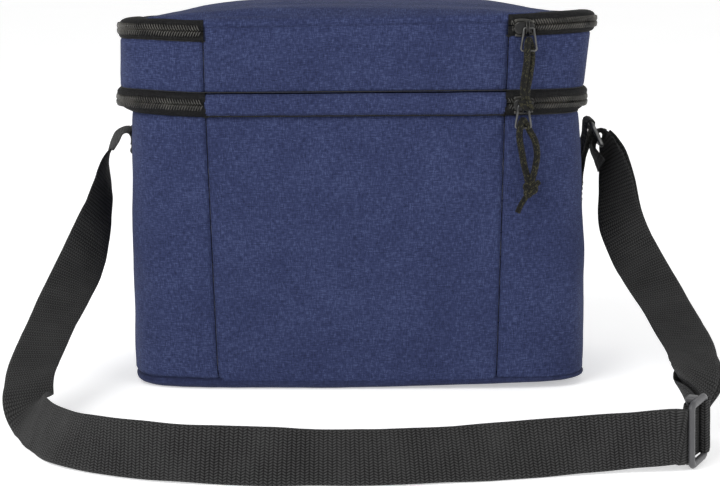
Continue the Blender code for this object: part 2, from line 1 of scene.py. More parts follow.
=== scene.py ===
"""Soft two-compartment bag with foil linings, two zips, end rings and a webbing shoulder strap.

The bag stands on z = 0 with its front towards -Y and its left end towards -X. Tables and
lengths are in millimetres; meshes are stored in metres. Numbers inside materials are in the
units of their node: cloth patterns in millimetres, bump distances in metres.
"""
import json
import math

import bmesh
import bpy
import numpy as np
from mathutils import Matrix, Vector


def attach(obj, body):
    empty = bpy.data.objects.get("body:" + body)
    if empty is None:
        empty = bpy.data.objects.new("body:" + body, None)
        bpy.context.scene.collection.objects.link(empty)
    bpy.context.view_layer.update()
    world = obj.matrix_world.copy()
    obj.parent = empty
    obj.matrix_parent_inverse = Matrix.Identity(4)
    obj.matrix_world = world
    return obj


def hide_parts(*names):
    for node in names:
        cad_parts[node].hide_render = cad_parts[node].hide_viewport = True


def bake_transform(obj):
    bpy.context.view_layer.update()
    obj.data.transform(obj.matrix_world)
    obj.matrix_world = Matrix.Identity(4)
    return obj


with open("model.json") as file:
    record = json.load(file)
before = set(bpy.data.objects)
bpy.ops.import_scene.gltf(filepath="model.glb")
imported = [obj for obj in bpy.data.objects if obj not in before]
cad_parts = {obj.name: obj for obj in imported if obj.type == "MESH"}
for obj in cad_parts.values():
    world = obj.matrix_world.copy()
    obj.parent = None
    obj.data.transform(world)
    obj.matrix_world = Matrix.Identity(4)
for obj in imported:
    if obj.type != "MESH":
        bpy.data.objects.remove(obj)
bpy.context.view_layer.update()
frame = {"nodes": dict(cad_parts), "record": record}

MM = 0.001
COLLECTION = bpy.context.scene.collection

# Driving sizes.
ZIP_EXPONENT = 6.2                                # squareness of the plan along the zips
PANEL_LENGTH = {"wrap": 735.0, "centre": 193.0}   # nominal run of a panel from seam to seam
LOWER_ZIP_Z, UPPER_ZIP_Z = 190.3, 240.1           # middle of each zip chain
LOWER_SLIDER_Z, UPPER_SLIDER_Z = 190.0, 240.0
SLIDER_X = 106.5
RING_WIRE = 1.6                                   # radius of the ring wire
WALL_FORWARD = Vector((0, -1, 0))


# ================================================================ curves and fields
def smooth_step(t):
    t = np.clip(t, 0.0, 1.0)
    return t * t * (3 - 2 * t)


def unit(vectors):
    return vectors / np.maximum(np.linalg.norm(vectors, axis=-1, keepdims=True), 1e-9)


def waves(u, v, height, size, seed):
    """Smooth irregular ripple: nine plane waves with fixed, seeded directions."""
    count = 9
    rng = np.random.default_rng(seed)
    total = np.zeros(np.broadcast(u, v).shape)
    for _ in range(count):
        angle = rng.uniform(0, math.pi)
        rate = 2 * math.pi / (size * rng.uniform(0.6, 1.8))
        phase = rate * (u * math.cos(angle) + v * math.sin(angle)) + rng.uniform(0, 6.28)
        total = total + np.sin(phase) * rng.uniform(0.5, 1.0)
    return height * total / math.sqrt(count)


def catmull(points, steps, clamped=False):
    """Catmull-Rom curve; its end slopes come from mirrored or, if clamped, repeated ends."""
    points = [np.array(p, float) for p in points]
    before = points[0] if clamped else 2 * points[0] - points[1]
    after = points[-1] if clamped else 2 * points[-1] - points[-2]
    points = [before] + points + [after]
    curve = []
    for i in range(1, len(points) - 2):
        p0, p1, p2, p3 = points[i - 1:i + 3]
        for k in range(steps):
            t = k / steps
            curve.append(0.5 * ((2 * p1) + (-p0 + p2) * t
                                + (2 * p0 - 5 * p1 + 4 * p2 - p3) * t * t
                                + (-p0 + 3 * p1 - 3 * p2 + p3) * t ** 3))
    curve.append(points[-2])
    return np.array(curve)


def run_length(points):
    """Distance travelled along a path at each of its points."""
    return np.r_[0, np.cumsum(np.linalg.norm(np.diff(points, axis=0), axis=1))]


def sample(at, run, values):
    """Rows of values at distances along a path whose own distances are run."""
    return np.stack([np.interp(at, run, values[:, k]) for k in range(values.shape[1])], -1)


def resample(points, count, closed=False):
    points = np.asarray(points, float)
    if closed:
        points = np.vstack([points, points[:1]])
    run = run_length(points)
    at = np.linspace(0, run[-1], count + 1)[:-1] if closed else np.linspace(0, run[-1], count)
    return sample(at, run, points)


def tangents(points, closed=False):
    if closed:
        return unit(np.roll(points, -1, 0) - np.roll(points, 1, 0))
    return unit(np.gradient(points, axis=0))


def square_to(vectors, along):
    """Unit vectors with their part along the path taken out."""
    return unit(vectors - along * (vectors * along).sum(1, keepdims=True))


def normals(points, closed=False):
    """Unit normals of a grid of points: column direction x row direction."""
    if closed:
        across = np.roll(points, -1, 1) - np.roll(points, 1, 1)
    else:
        across = np.gradient(points, axis=1)
    return unit(np.cross(across, np.gradient(points, axis=0)))


def front_normals(points):
    """Grid normals, turned to face the front."""
    normal = normals(points)
    return -normal if normal[..., 1].sum() > 0 else normal


def arc(centre_x, centre_z, radius, start, end, count):
    return [(centre_x + radius * math.cos(math.radians(a)),
             centre_z + radius * math.sin(math.radians(a))) for a in np.linspace(start, end, count)]


def corner_arcs(corners, radius, step=15):
    """Seven points round each corner. corners are (centre u, centre v, start angle)."""
    points = []
    for u, v, start in corners:
        for i in range(7):
            t = math.radians(start + step * i)
            points.append((u + radius * math.cos(t), v + radius * math.sin(t)))
    return np.array(points)


def rounded_outline(points, radius, steps):
    """Polygon with rounded corners."""
    outline = []
    count = len(points)
    for i in range(count):
        before, corner, after = (np.array(points[(i + k) % count], float) for k in (-1, 0, 1))
        back, ahead = before - corner, after - corner
        back_length, ahead_length = np.linalg.norm(back), np.linalg.norm(ahead)
        reach = min(radius, back_length * 0.45, ahead_length * 0.45)
        start = corner + back / back_length * reach
        end = corner + ahead / ahead_length * reach
        for k in range(steps + 1):
            t = k / steps
            outline.append((1 - t) ** 2 * start + 2 * t * (1 - t) * corner + t * t * end)
    return np.array(outline)


# =================================================================== mesh building
def add_object(name, mesh):
    obj = bpy.data.objects.new(name, mesh)
    COLLECTION.objects.link(obj)
    return obj


def make(name, points, faces, material, uv=None):
    """Mesh object from points in millimetres. uv is one (u, v) per face corner."""
    mesh = bpy.data.meshes.new(name)
    points = (np.asarray(points, float) * MM).tolist()
    mesh.from_pydata(points, [], [list(map(int, face)) for face in faces])
    mesh.polygons.foreach_set("use_smooth", [True] * len(mesh.polygons))
    if uv is not None:
        layer = mesh.uv_layers.new(name="weave")
        layer.data.foreach_set("uv", np.asarray(uv, np.float32).ravel())
    mesh.materials.append(material)
    mesh.update()
    obj = add_object(name, mesh)
    return obj


def grid_corners(rows, cols, closed):
    return np.meshgrid(np.arange(rows - 1), np.arange(cols if closed else cols - 1), indexing="ij")


def grid_faces(rows, cols, closed=False, flip=False):
    r, c = grid_corners(rows, cols, closed)
    n = (c + 1) % cols
    below = (r + 1) * cols
    quads = np.stack([r * cols + c, r * cols + n, below + n, below + c], -1).reshape(-1, 4)
    return quads[:, ::-1] if flip else quads


def grid_uv(uv, rows, cols, closed=False, flip=False):
    """Face-corner UVs of a grid; for a closed grid uv has one extra column."""
    r, c = grid_corners(rows, cols, closed)
    quads = np.stack([uv[r, c], uv[r, c + 1], uv[r + 1, c + 1], uv[r + 1, c]], -2)
    quads = quads.reshape(-1, 4, 2)
    return (quads[:, ::-1] if flip else quads).reshape(-1, 2)


def uv_grid(columns, rows):
    return np.stack(np.meshgrid(columns, rows), -1)


def cloth_uv(points, closed=False):
    """Distances across (u) and down (v) a grid of points, as weave coordinates."""
    if closed:
        points = np.concatenate([points, points[:, :1]], 1)
    rows, cols = points.shape[:2]
    across = np.linalg.norm(np.diff(points, axis=1), axis=2)
    u = np.concatenate([np.zeros((rows, 1)), np.cumsum(across, 1)], 1)
    u = u - u[:, [cols // 2]]
    u = np.repeat(u[rows // 2][None], rows, 0)
    down = np.linalg.norm(np.diff(points, axis=0), axis=2)
    v = np.concatenate([np.zeros((1, cols)), np.cumsum(down, 0)], 0)
    v = np.repeat(v.mean(1)[:, None], cols, 1)
    return np.stack([u, v], -1)


def add_thickness(obj, thickness, offset=-1.0):
    modifier = obj.modifiers.new("thickness", "SOLIDIFY")
    modifier.thickness = thickness * MM
    modifier.offset = offset
    modifier.use_even_offset = False


def recalculate_normals(obj):
    bm = bmesh.new()
    bm.from_mesh(obj.data)
    bmesh.ops.recalc_face_normals(bm, faces=bm.faces)
    bm.to_mesh(obj.data)
    bm.free()


def turn_outward(obj, direction=None):
    """Turns a sheet's faces away from the bag's middle, or along a direction."""
    mesh = obj.data
    facing = 0.0
    for polygon in mesh.polygons:
        centre = polygon.center
        away = direction if direction is not None else Vector((centre.x, centre.y, 0))
        facing += polygon.normal.dot(away) * polygon.area
    if facing < 0:
        mesh.flip_normals()
        mesh.update()


def sheet(name, points, material, thick, closed=False, flip=False, uv=None):
    rows, cols = points.shape[:2]
    uv = cloth_uv(points, closed) if uv is None else uv
    obj = make(name, points.reshape(-1, 3), grid_faces(rows, cols, closed, flip), material,
               grid_uv(uv, rows, cols, closed, flip))
    add_thickness(obj, thick)
    return obj


def tube_faces(rows, cols, start=0):
    """Faces of a tube with both ends capped."""
    faces = list(grid_faces(rows, cols, True) + start)
    faces.append(range(start, start + cols)[::-1])
    faces.append(range(start + (rows - 1) * cols, start + rows * cols))
    return faces


def tube_uv(uv, rows, cols):
    return np.vstack([grid_uv(uv, rows, cols, True), np.zeros((2 * cols, 2))])


def tube(name, points, material, uv=None):
    rows, cols = points.shape[:2]
    if uv is not None:
        uv = tube_uv(uv, rows, cols)
    return make(name, points.reshape(-1, 3), tube_faces(rows, cols), material, uv)


def sweep(name, path, radius, material, sides, closed=False, squash=(1.0, 1.0), bump=None):
    """Round cord or wire along a path, with frames that don't twist.
    bump(angle, distance) adds relief."""
    path = np.asarray(path, float)
    along = tangents(path, closed)
    reference = (0.0, 0.0, 1.0) if abs(along[0][2]) < 0.9 else (1.0, 0.0, 0.0)
    side = np.cross(along[0], np.array(reference))
    side /= np.linalg.norm(side)
    frames = [side]
    for direction in along[1:]:
        frames.append(unit(frames[-1] - direction * np.dot(frames[-1], direction)))
    side = np.array(frames)
    other = np.cross(along, side)
    run = run_length(path)
    angle = np.linspace(0, 2 * math.pi, sides, endpoint=False)
    radii = np.full((len(path), sides), float(radius))
    if bump is not None:
        radii = radii + bump(angle[None, :], run[:, None])
    points = path[:, None] + radii[..., None] * (
        side[:, None] * np.cos(angle)[None, :, None] * squash[0]
        + other[:, None] * np.sin(angle)[None, :, None] * squash[1])
    if not closed:
        return tube(name, points, material,
                    uv_grid(np.r_[angle, 2 * math.pi] * radius, run))
    count = len(path)
    uv = uv_grid(np.r_[run, run[-1] + np.linalg.norm(path[0] - path[-1])], angle * radius)
    # The last strip of faces joins the last side to the first.
    last = [[(i + sides * count - count), (sides - 1) * count + (i + 1) % count,
             (i + 1) % count, i][::-1] for i in range(count)]
    last_uv = [(run[i], 6.28 * radius) for i in range(count) for _ in range(4)]
    obj = make(name, points.transpose(1, 0, 2).reshape(-1, 3),
               np.vstack([grid_faces(sides, count, True, True), last]), material,
               np.vstack([grid_uv(uv, sides, count, True, True), last_uv]))
    recalculate_normals(obj)
    return obj


def join(name, parts):
    """Several meshes of one material as one piece; parts without UVs get (0, 0)."""
    points, faces, uv = [], [], []
    for part in parts:
        start = len(points)
        mesh = part.data
        points += [tuple(v.co) for v in mesh.vertices]
        layer = mesh.uv_layers[0].data if mesh.uv_layers else None
        for polygon in mesh.polygons:
            faces.append([start + v for v in polygon.vertices])
            for i in polygon.loop_indices:
                uv.append(tuple(layer[i].uv) if layer else (0.0, 0.0))
    joined = bpy.data.meshes.new(name)
    joined.from_pydata(points, [], faces)
    joined.polygons.foreach_set("use_smooth", [True] * len(joined.polygons))
    joined.polygons.foreach_set("material_index", [0] * len(joined.polygons))
    layer = joined.uv_layers.new(name="weave")
    layer.data.foreach_set("uv", np.array(uv, np.float32).ravel())
    joined.materials.append(parts[0].data.materials[0])
    joined.update()
    obj = add_object(name, joined)
    for part in parts:
        bpy.data.objects.remove(part, do_unlink=True)
    return obj


# ======================================================================= materials
class Shader:
    """A material with short ways to add nodes; each method returns the node's output."""

    def __init__(self, name):
        self.material = bpy.data.materials.new(name)
        self.material.use_nodes = True
        self.tree = self.material.node_tree
        self.tree.nodes.clear()
        output = self.node("OutputMaterial")
        self.bsdf = self.node("BsdfPrincipled")
        self.put(output.inputs[0], self.bsdf.outputs[0])

    def node(self, kind):
        return self.tree.nodes.new("ShaderNode" + kind)

    def put(self, socket, value):
        if isinstance(value, bpy.types.NodeSocket):
            self.tree.links.new(value, socket)
        else:
            socket.default_value = value

    def math(self, operation, *values):
        node = self.node("Math")
        node.operation = operation
        for socket, value in zip(node.inputs, values):
            self.put(socket, value)
        return node.outputs[0]

    def add(self, a, b):
        return self.math("ADD", a, b)

    def sub(self, a, b):
        return self.math("SUBTRACT", a, b)

    def mul(self, a, b):
        return self.math("MULTIPLY", a, b)

    def div(self, a, b):
        return self.math("DIVIDE", a, b)

    def power(self, a, b):
        return self.math("POWER", a, b)

    def half_waves(self, value):
        """|sin(pi * value)|: one hump for each unit."""
        return self.math("ABSOLUTE", self.math("SINE", self.mul(value, math.pi)))

    def vector(self, x, y, z=0.0):
        node = self.node("CombineXYZ")
        for socket, value in zip(node.inputs, (x, y, z)):
            self.put(socket, value)
        return node.outputs[0]

    def stretched(self, u, v, size_u, size_v, layer):
        """Cloth coordinates in units of size_u by size_v, on a layer of their own."""
        return self.vector(self.div(u, size_u), self.div(v, size_v), layer)

    def weave_uv(self):
        node = self.node("UVMap")
        node.uv_map = "weave"
        split = self.node("SeparateXYZ")
        self.put(split.inputs[0], node.outputs[0])
        return split.outputs[0], split.outputs[1]

    def object_position(self):
        return self.node("TexCoord").outputs["Object"]

    def noise(self, vector, scale, detail=2.0, rough=0.5, distortion=0.0):
        node = self.node("TexNoise")
        self.put(node.inputs["Vector"], vector)
        node.inputs["Scale"].default_value = scale
        node.inputs["Detail"].default_value = detail
        node.inputs["Roughness"].default_value = rough
        node.inputs["Distortion"].default_value = distortion
        return node.outputs[0]

    def voronoi(self, vector, scale):
        node = self.node("TexVoronoi")
        self.put(node.inputs["Vector"], vector)
        node.inputs["Scale"].default_value = scale
        return node.outputs[0]

    def ramp(self, factor, stops):
        """stops are (position, colour)."""
        node = self.node("ValToRGB")
        self.put(node.inputs[0], factor)
        elements = node.color_ramp.elements
        while len(elements) < len(stops):
            elements.new(0.5)
        for element, (position, colour) in zip(elements, stops):
            element.position = position
            element.color = (*colour, 1.0)
        return node.outputs[0]

    def mix(self, factor, first, second):
        node = self.node("Mix")
        node.data_type = "RGBA"
        self.put(node.inputs[0], factor)
        for i, value in ((6, first), (7, second)):
            self.put(node.inputs[i], (*value, 1.0) if isinstance(value, tuple) else value)
        return node.outputs[2]

    def remap(self, value, source, target):
        node = self.node("MapRange")
        self.put(node.inputs[0], value)
        for i, limit in enumerate((*source, *target)):
            node.inputs[i + 1].default_value = limit
        return node.outputs[0]

    def convex_edges(self, end=0.60):
        """0 on flat surface, 1 where it is as convex as end."""
        pointiness = self.node("NewGeometry").outputs["Pointiness"]
        return self.remap(pointiness, source=(0.52, end), target=(0.0, 1.0))

    def bump(self, height, strength, distance, normal=None):
        node = self.node("Bump")
        node.inputs["Strength"].default_value = strength
        node.inputs["Distance"].default_value = distance
        self.put(node.inputs["Height"], height)
        if normal is not None:
            self.put(node.inputs["Normal"], normal)
        return node.outputs[0]

    def finish(self, **inputs):
        """Sets inputs of the surface shader and returns the material."""
        for name, value in inputs.items():
            if isinstance(value, tuple):
                value = (*value, 1.0)
            self.put(self.bsdf.inputs[name.replace("_", " ")], value)
        return self.material


def srgb(*channels):
    """Linear colour from 0-255 channels; one channel gives a grey."""
    def linear(channel):
        channel /= 255.0
        return channel / 12.92 if channel <= 0.04045 else ((channel + 0.055) / 1.055) ** 2.4
    return tuple(linear(c) for c in (channels * 3 if len(channels) == 1 else channels))


def scaled(colour, factor, lift=0.0):
    return tuple(min(1, c * factor + lift) for c in colour)


def woven(name, dark, mid, light, pitch, rough=0.9, sheen=0.06, contrast=1.0, streak=7.0):
    """Plain-weave melange cloth: threads cross over and under and change tone on their way.
    pitch is the thread spacing, streak the length over which a thread changes tone."""
    g = Shader(name)
    u, v = g.weave_uv()
    thread_u, thread_v = g.div(u, pitch), g.div(v, pitch)
    i, j = g.math("FLOOR", thread_u), g.math("FLOOR", thread_v)
    part_u, part_v = g.math("FRACT", thread_u), g.math("FRACT", thread_v)
    odd = g.math("FLOORED_MODULO", g.add(i, j), 2.0)
    hump_u = g.math("SINE", g.mul(part_u, math.pi))
    hump_v = g.math("SINE", g.mul(part_v, math.pi))
    # The thread that passes under keeps 0.35 of its height.
    warp = g.mul(hump_u, g.add(0.35, g.mul(odd, 0.65)))
    weft = g.mul(hump_v, g.sub(1.0, g.mul(odd, 0.65)))
    height = g.math("MAXIMUM", warp, weft)
    # The odd factors and layers keep neighbouring threads unalike.
    warp_tone = g.noise(g.vector(g.mul(i, 3.713), g.div(v, streak), 3.0), scale=1.0, rough=0.6)
    weft_tone = g.noise(g.vector(g.div(u, streak), g.mul(j, 2.917), 17.0), scale=1.0, rough=0.6)
    thread = g.add(g.mul(warp_tone, odd), g.mul(weft_tone, g.sub(1.0, odd)))
    # Broken cross-hatch several threads wide, which is what reads from a metre away.
    hatch_v = g.noise(g.stretched(u, v, 0.85, 3.6, 5.0), scale=1.0, rough=0.6)
    hatch_u = g.noise(g.stretched(u, v, 3.6, 0.85, 9.0), scale=1.0, rough=0.6)
    cloud = g.noise(g.stretched(u, v, 38.0, 38.0, 1.0), scale=1.0, detail=3.0, rough=0.6)
    thread_weight, hatch_weight, cloud_weight = 1.1 * contrast, 1.35 * contrast, 0.5
    tone = g.add(g.mul(g.sub(thread, 0.5), thread_weight),
                 g.mul(g.sub(g.add(hatch_v, hatch_u), 1.0), hatch_weight))
    tone = g.add(g.add(tone, 0.5), g.mul(g.sub(cloud, 0.5), cloud_weight))
    colour = g.ramp(tone, [(0.0, dark), (0.5, mid), (1.0, light)])
    # Painted shade: the gaps between threads are darkened as if shade fell into them.
    gap = g.mul(g.sub(1.0, g.power(height, 0.6)), 0.75)
    colour = g.mix(gap, colour, scaled(dark, 0.35))
    wear = 0.2
    edge_lightening = g.mul(g.convex_edges(), g.mul(g.noise(g.vector(u, v), scale=0.5, detail=3.0), wear))
    colour = g.mix(edge_lightening, colour, scaled(light, 1.6, lift=0.01))
    fuzz = g.noise(g.vector(u, v, 2.0), scale=2.6, rough=0.7)
    normal = g.bump(g.add(height, g.mul(fuzz, 0.35)), strength=0.75, distance=0.00012)
    slub = g.noise(g.stretched(u, v, 9.0, 9.0, 4.0), scale=1.0, detail=3.0, rough=0.6)
    normal = g.bump(slub, strength=0.35, distance=0.0009, normal=normal)
    gloss = g.remap(tone, source=(0.0, 1.0), target=(rough + 0.05, rough - 0.08))
    return g.finish(Base_Color=colour, Roughness=gloss, Normal=normal, Sheen_Weight=sheen,
                    Sheen_Roughness=0.45, Sheen_Tint=scaled(light, 2, lift=0.35),
                    Specular_IOR_Level=0.14)


def ribbed(name, dark, light, rib_pitch, cord_pitch, bump, sheen=0.05, chevron=0.5, low=0.12,
           high=0.95, weight=0.62, swap=False, dots=0.45):
    """Woven tape: ribs across the tape, broken into a fine chevron by the warp.
    low and high are the tones of dark and light, weight the share of relief in the tone,
    dots how far the cords break up the ribs. swap runs the ribs the other way."""
    g = Shader(name)
    u, v = g.weave_uv()
    if swap:
        u, v = v, u
    zigzag = g.math("PINGPONG", g.div(u, cord_pitch), 1.0)
    rib = g.half_waves(g.add(g.div(v, rib_pitch), g.mul(zigzag, chevron)))
    cord = g.half_waves(g.div(u, cord_pitch))
    height = g.mul(g.power(rib, 0.8), g.add(1.0 - dots, g.mul(g.power(cord, 0.8), dots)))
    fine = g.noise(g.vector(g.mul(u, 1.2), g.mul(v, 2.2), 0.0), scale=1.0, detail=3.0, rough=0.7)
    cloud = g.noise(g.stretched(u, v, 22.0, 30.0, 6.0), scale=1.0, detail=3.0, rough=0.6)
    fine_weight, cloud_weight = 0.40, 0.5
    # Painted shade: the tone rises with the relief, so the hollows between ribs and cords are
    # darker.
    tone = g.add(g.mul(height, weight),
                 g.add(g.mul(fine, fine_weight), g.mul(g.sub(cloud, 0.5), cloud_weight)))
    colour = g.ramp(tone, [(low, dark), (high, light)])
    # Edges rubbed lighter by wear.
    colour = g.mix(g.mul(g.convex_edges(end=0.62), 0.3), colour, scaled(light, 1.7, lift=0.01))
    normal = g.bump(g.add(height, g.mul(fine, 0.4)), strength=0.8, distance=bump)
    return g.finish(Base_Color=colour, Normal=normal,
                    Roughness=g.remap(fine, source=(0.0, 1.0), target=(0.82, 0.62)),
                    Sheen_Weight=sheen, Sheen_Roughness=0.4, Specular_IOR_Level=0.18)


def braid(name, dark, fleck):
    """Braided cord: carriers spiral both ways, a few carry a fleck."""
    g = Shader(name)
    u, v = g.weave_uv()
    around_pitch, along_pitch = 1.15, 1.5
    right = g.add(g.div(u, around_pitch), g.div(v, along_pitch))
    left = g.sub(g.div(u, around_pitch), g.div(v, along_pitch))
    height = g.mul(g.half_waves(right), g.half_waves(left))
    cell = g.vector(g.math("FLOOR", right), g.math("FLOOR", left), 0.0)
    spot = g.noise(cell, scale=3.7, detail=0.0)
    fine = g.noise(g.vector(u, v, 0.0), scale=3.0, rough=0.7)
    # Painted shade: the tone follows the relief, so the hollows between the carriers are darker.
    tone = g.mul(height, g.add(0.7, g.mul(fine, 0.5)))
    colour = g.ramp(tone, [(0.05, scaled(dark, 0.3)), (0.9, dark)])
    flecks = g.mul(g.remap(spot, source=(0.52, 0.60), target=(0.0, 1.0)), g.power(height, 0.6))
    colour = g.mix(flecks, colour, fleck)
    normal = g.bump(g.add(height, g.mul(fine, 0.25)), strength=0.8, distance=0.00035)
    return g.finish(Base_Color=colour, Roughness=0.72, Normal=normal, Sheen_Weight=0.03,
                    Specular_IOR_Level=0.2)


def solid(name, colour, rough, metal=0.0, grain=0.00003, scale=900.0, coat=0.0, edge_lightening=None,
          vary=0.3, specular=0.4):
    """Moulded plastic or coated metal: fine grain, uneven gloss, edges lighter, as rubbed wear and,
    on the nylon coil, as painted highlight.
    grain is the depth and scale the fineness of the bump, vary the spread of the colour."""
    g = Shader(name)
    position = g.object_position()
    fine = g.noise(position, scale=scale, detail=3.0, rough=0.6)
    patches = g.noise(position, scale=70.0, detail=3.0, rough=0.6)
    tint = g.mix(patches, scaled(colour, 1 - vary), scaled(colour, 1 + vary))
    if edge_lightening:
        # Lighter edges: rubbed wear on metal and plastic, and on the nylon coil a painted highlight
        # on the heads of its turns.
        wear_and_glint_mask = g.mul(g.convex_edges(), g.remap(patches, source=(0.35, 0.7), target=(0.1, 0.9)))
        tint = g.mix(wear_and_glint_mask, tint, edge_lightening)
    normal = g.bump(fine, strength=0.4, distance=grain)
    gloss = g.remap(patches, source=(0.2, 0.8), target=(rough + 0.08, rough - 0.06))
    return g.finish(Base_Color=tint, Roughness=gloss, Metallic=metal, Normal=normal,
                    Coat_Weight=coat, Coat_Roughness=0.25, Specular_IOR_Level=specular)


def foil(name):
    """Aluminised film liner: soft silver with crush lines in its gloss."""
    g = Shader(name)
    u, v = g.weave_uv()
    position = g.vector(u, v)
    big = g.noise(position, scale=0.045, detail=4.0, rough=0.6, distortion=0.8)
    cell = g.voronoi(position, scale=0.11)
    fine = g.noise(position, scale=0.5, detail=3.0, rough=0.6)
    colour = g.ramp(big, [(0.3, (0.50, 0.51, 0.53)), (0.7, (0.74, 0.75, 0.76))])
    normal = g.bump(cell, strength=0.55, distance=0.0022)
    normal = g.bump(big, strength=0.5, distance=0.003, normal=normal)
    normal = g.bump(fine, strength=0.3, distance=0.0002, normal=normal)
    gloss = g.remap(fine, source=(0.2, 0.8), target=(0.22, 0.42))
    return g.finish(Base_Color=colour, Roughness=gloss, Metallic=0.9, Normal=normal)


def foam(name):
    """Pale closed-cell foam."""
    g = Shader(name)
    position = g.object_position()
    cell = g.voronoi(position, scale=900.0)
    patches = g.noise(position, scale=60.0, detail=3.0)
    colour = g.ramp(g.add(g.mul(cell, 0.5), g.mul(patches, 0.5)),
                    [(0.2, (0.62, 0.62, 0.60)), (0.8, (0.82, 0.82, 0.80))])
    normal = g.bump(cell, strength=0.7, distance=0.0005)
    return g.finish(Base_Color=colour, Roughness=0.9, Normal=normal,
                    Subsurface_Weight=0.1, Subsurface_Scale=0.002)


NAVY = woven("navy_melange", dark=srgb(33, 39, 68), mid=srgb(48, 56, 91), light=srgb(74, 84, 122),
             pitch=0.62)
NAVY_DARK = woven("navy_binding", dark=srgb(26, 30, 54), mid=srgb(40, 46, 76),
                  light=srgb(60, 68, 102), pitch=0.55, contrast=0.7)
TAPE = woven("zip_tape_weave", dark=srgb(10, 10, 11), mid=srgb(24, 24, 25), light=srgb(42),
             pitch=0.5, rough=0.8, sheen=0.02, contrast=0.8, streak=3.0)
BINDING = ribbed("black_binding", dark=srgb(14, 14, 15), light=srgb(46), rib_pitch=0.9,
                 cord_pitch=1.6, bump=0.00018)
WEBBING = ribbed("black_webbing", dark=srgb(3), light=srgb(60), rib_pitch=1.6, cord_pitch=2.5,
                 bump=0.0007, sheen=0.01, chevron=0.8, low=0.28, high=1.05, weight=0.9,
                 swap=True, dots=0.8)
CORD = braid("braided_cord", dark=srgb(22, 22, 20), fleck=srgb(68, 66, 46))
# The coil's lighter edge colour is painted highlight: the light ticks that glints leave on the
# heads of its turns.
COIL = solid("nylon_coil", srgb(8), rough=0.2, grain=0.00002, scale=1500.0, coat=0.2,
             edge_lightening=srgb(92, 90, 84), vary=0.35, specular=0.5)
METAL = solid("gunmetal", srgb(52), rough=0.3, metal=0.8, scale=1200.0, coat=0.1,
              edge_lightening=srgb(190, 190, 188))
SLIDER_METAL = solid("black_enamel", srgb(9), rough=0.22, coat=0.05, edge_lightening=srgb(120, 118, 112),
                     specular=0.3)
PLASTIC = solid("black_acetal", srgb(74, 74, 76), rough=0.42, grain=0.00006, scale=1100.0,
                coat=0.05, edge_lightening=srgb(120), vary=0.2)
RING_METAL = solid("ring_wire", srgb(60), rough=0.33, metal=0.8, scale=1200.0, coat=0.15,
                   edge_lightening=srgb(180, 180, 178))
FOIL = foil("foil_liner")
FOAM = foam("pe_foam")
BOARD = solid("grey_board", srgb(120, 118, 112), rough=0.85, grain=0.0001, scale=500.0, vary=0.25)
THREAD = ribbed("black_thread", dark=srgb(20), light=srgb(60), rib_pitch=0.6, cord_pitch=0.8,
                bump=0.0001)


# ======================================================================= bag plan
# A plan is (half-width, half-depth, shift of its middle along X).
def plan_outline(plan, exponent):
    """Closed superellipse, counted from the middle of the front and running to -X first."""
    half_width, half_depth, shift = plan
    t = np.linspace(0, 2 * math.pi, 2880, endpoint=False)
    s, c = np.sin(t), np.cos(t)
    x = -np.sign(s) * np.abs(s) ** (2 / exponent) * half_width + shift
    y = -np.sign(c) * np.abs(c) ** (2 / exponent) * half_depth
    return np.stack([x, y], 1)


def inset(plan, sides, front=None):
    """A plan drawn in by sides, and by front, if given, at its front and back."""
    half_width, half_depth, shift = plan
    return half_width - sides, half_depth - (sides if front is None else front), shift


def seam_x(z):
    """The two upright front seams lean a little and round off at the foot of the centre."""
    heights = (0, 182, 196, 246)
    left = np.interp(z, heights, (-94.5, -101.0, -101.6, -102.2))
    right = np.interp(z, heights, (91.0, 94.8, 95.6, 96.8))
    foot = 1 - math.sqrt(max(0.0, 1 - (1 - min(z, 12.0) / 12.0) ** 2))
    return left + 15.0 * foot, right - 5.0 * foot


def strip_line(kind, fractions, plan, exponent, seams):
    """Points of the wrap (left seam, round the back, to the right seam) or of the centre
    (left seam to right seam across the front), and their distances round the plan."""
    outline = plan_outline(plan, exponent)
    loop = np.vstack([outline, outline[:1]])
    run = run_length(loop)
    total = run[-1]
    quarter = len(outline) // 4
    left = np.interp(-seams[0], -outline[:quarter, 0], run[:quarter])
    right = np.interp(seams[1], outline[3 * quarter:, 0][::-1], run[3 * quarter:-1][::-1])
    if kind == "wrap":
        at = left + fractions * (right - left)
    else:
        at = left - fractions * (left + total - right)
        at = np.where(at < 0, at + total, at)
    return sample(at, run, loop), at


def strip_row(kind, fractions, plan, exponent, z, trim=0.0):
    """One level row of a strip; trim shortens the wrap at both seams."""
    left, right = seam_x(z)
    xy, _ = strip_line(kind, fractions, plan, exponent, (left + trim, right - trim))
    return np.c_[xy, np.full(len(xy), z)]


class Casing:
    """Outside of a part of the bag, from levels of (z, half-width, half-depth, shift)."""

    def __init__(self, exponent, levels):
        self.exponent = exponent
        self.levels = np.array(levels, float)

    def plan(self, z):
        return tuple(np.interp(z, self.levels[:, 0], self.levels[:, k]) for k in (1, 2, 3))

    def row(self, kind, fractions, z):
        return strip_row(kind, fractions, self.plan(z), self.exponent, z)

    def grid(self, kind, fractions, heights):
        return np.array([self.row(kind, fractions, z) for z in heights])


# The bag leans a few millimetres to the left above the lower zip.
LOWER = Casing(6.6, [
    (0.0, 151.4, 82.5, 0.0), (8.0, 153.0, 83.5, -0.2), (60.0, 152.6, 84.8, -0.4),
    (110.0, 151.6, 85.0, -1.4), (160.0, 150.6, 84.6, -2.4), (176.0, 150.1, 83.6, -3.0),
    (182.0, 149.8, 83.2, -3.2)])
UPPER = Casing(6.2, [
    (196.0, 155.2, 85.6, -5.4), (206.0, 155.9, 86.2, -5.0), (218.0, 156.5, 86.6, -4.2),
    (232.0, 157.2, 86.6, -3.1), (241.0, 157.4, 86.4, -2.6)])


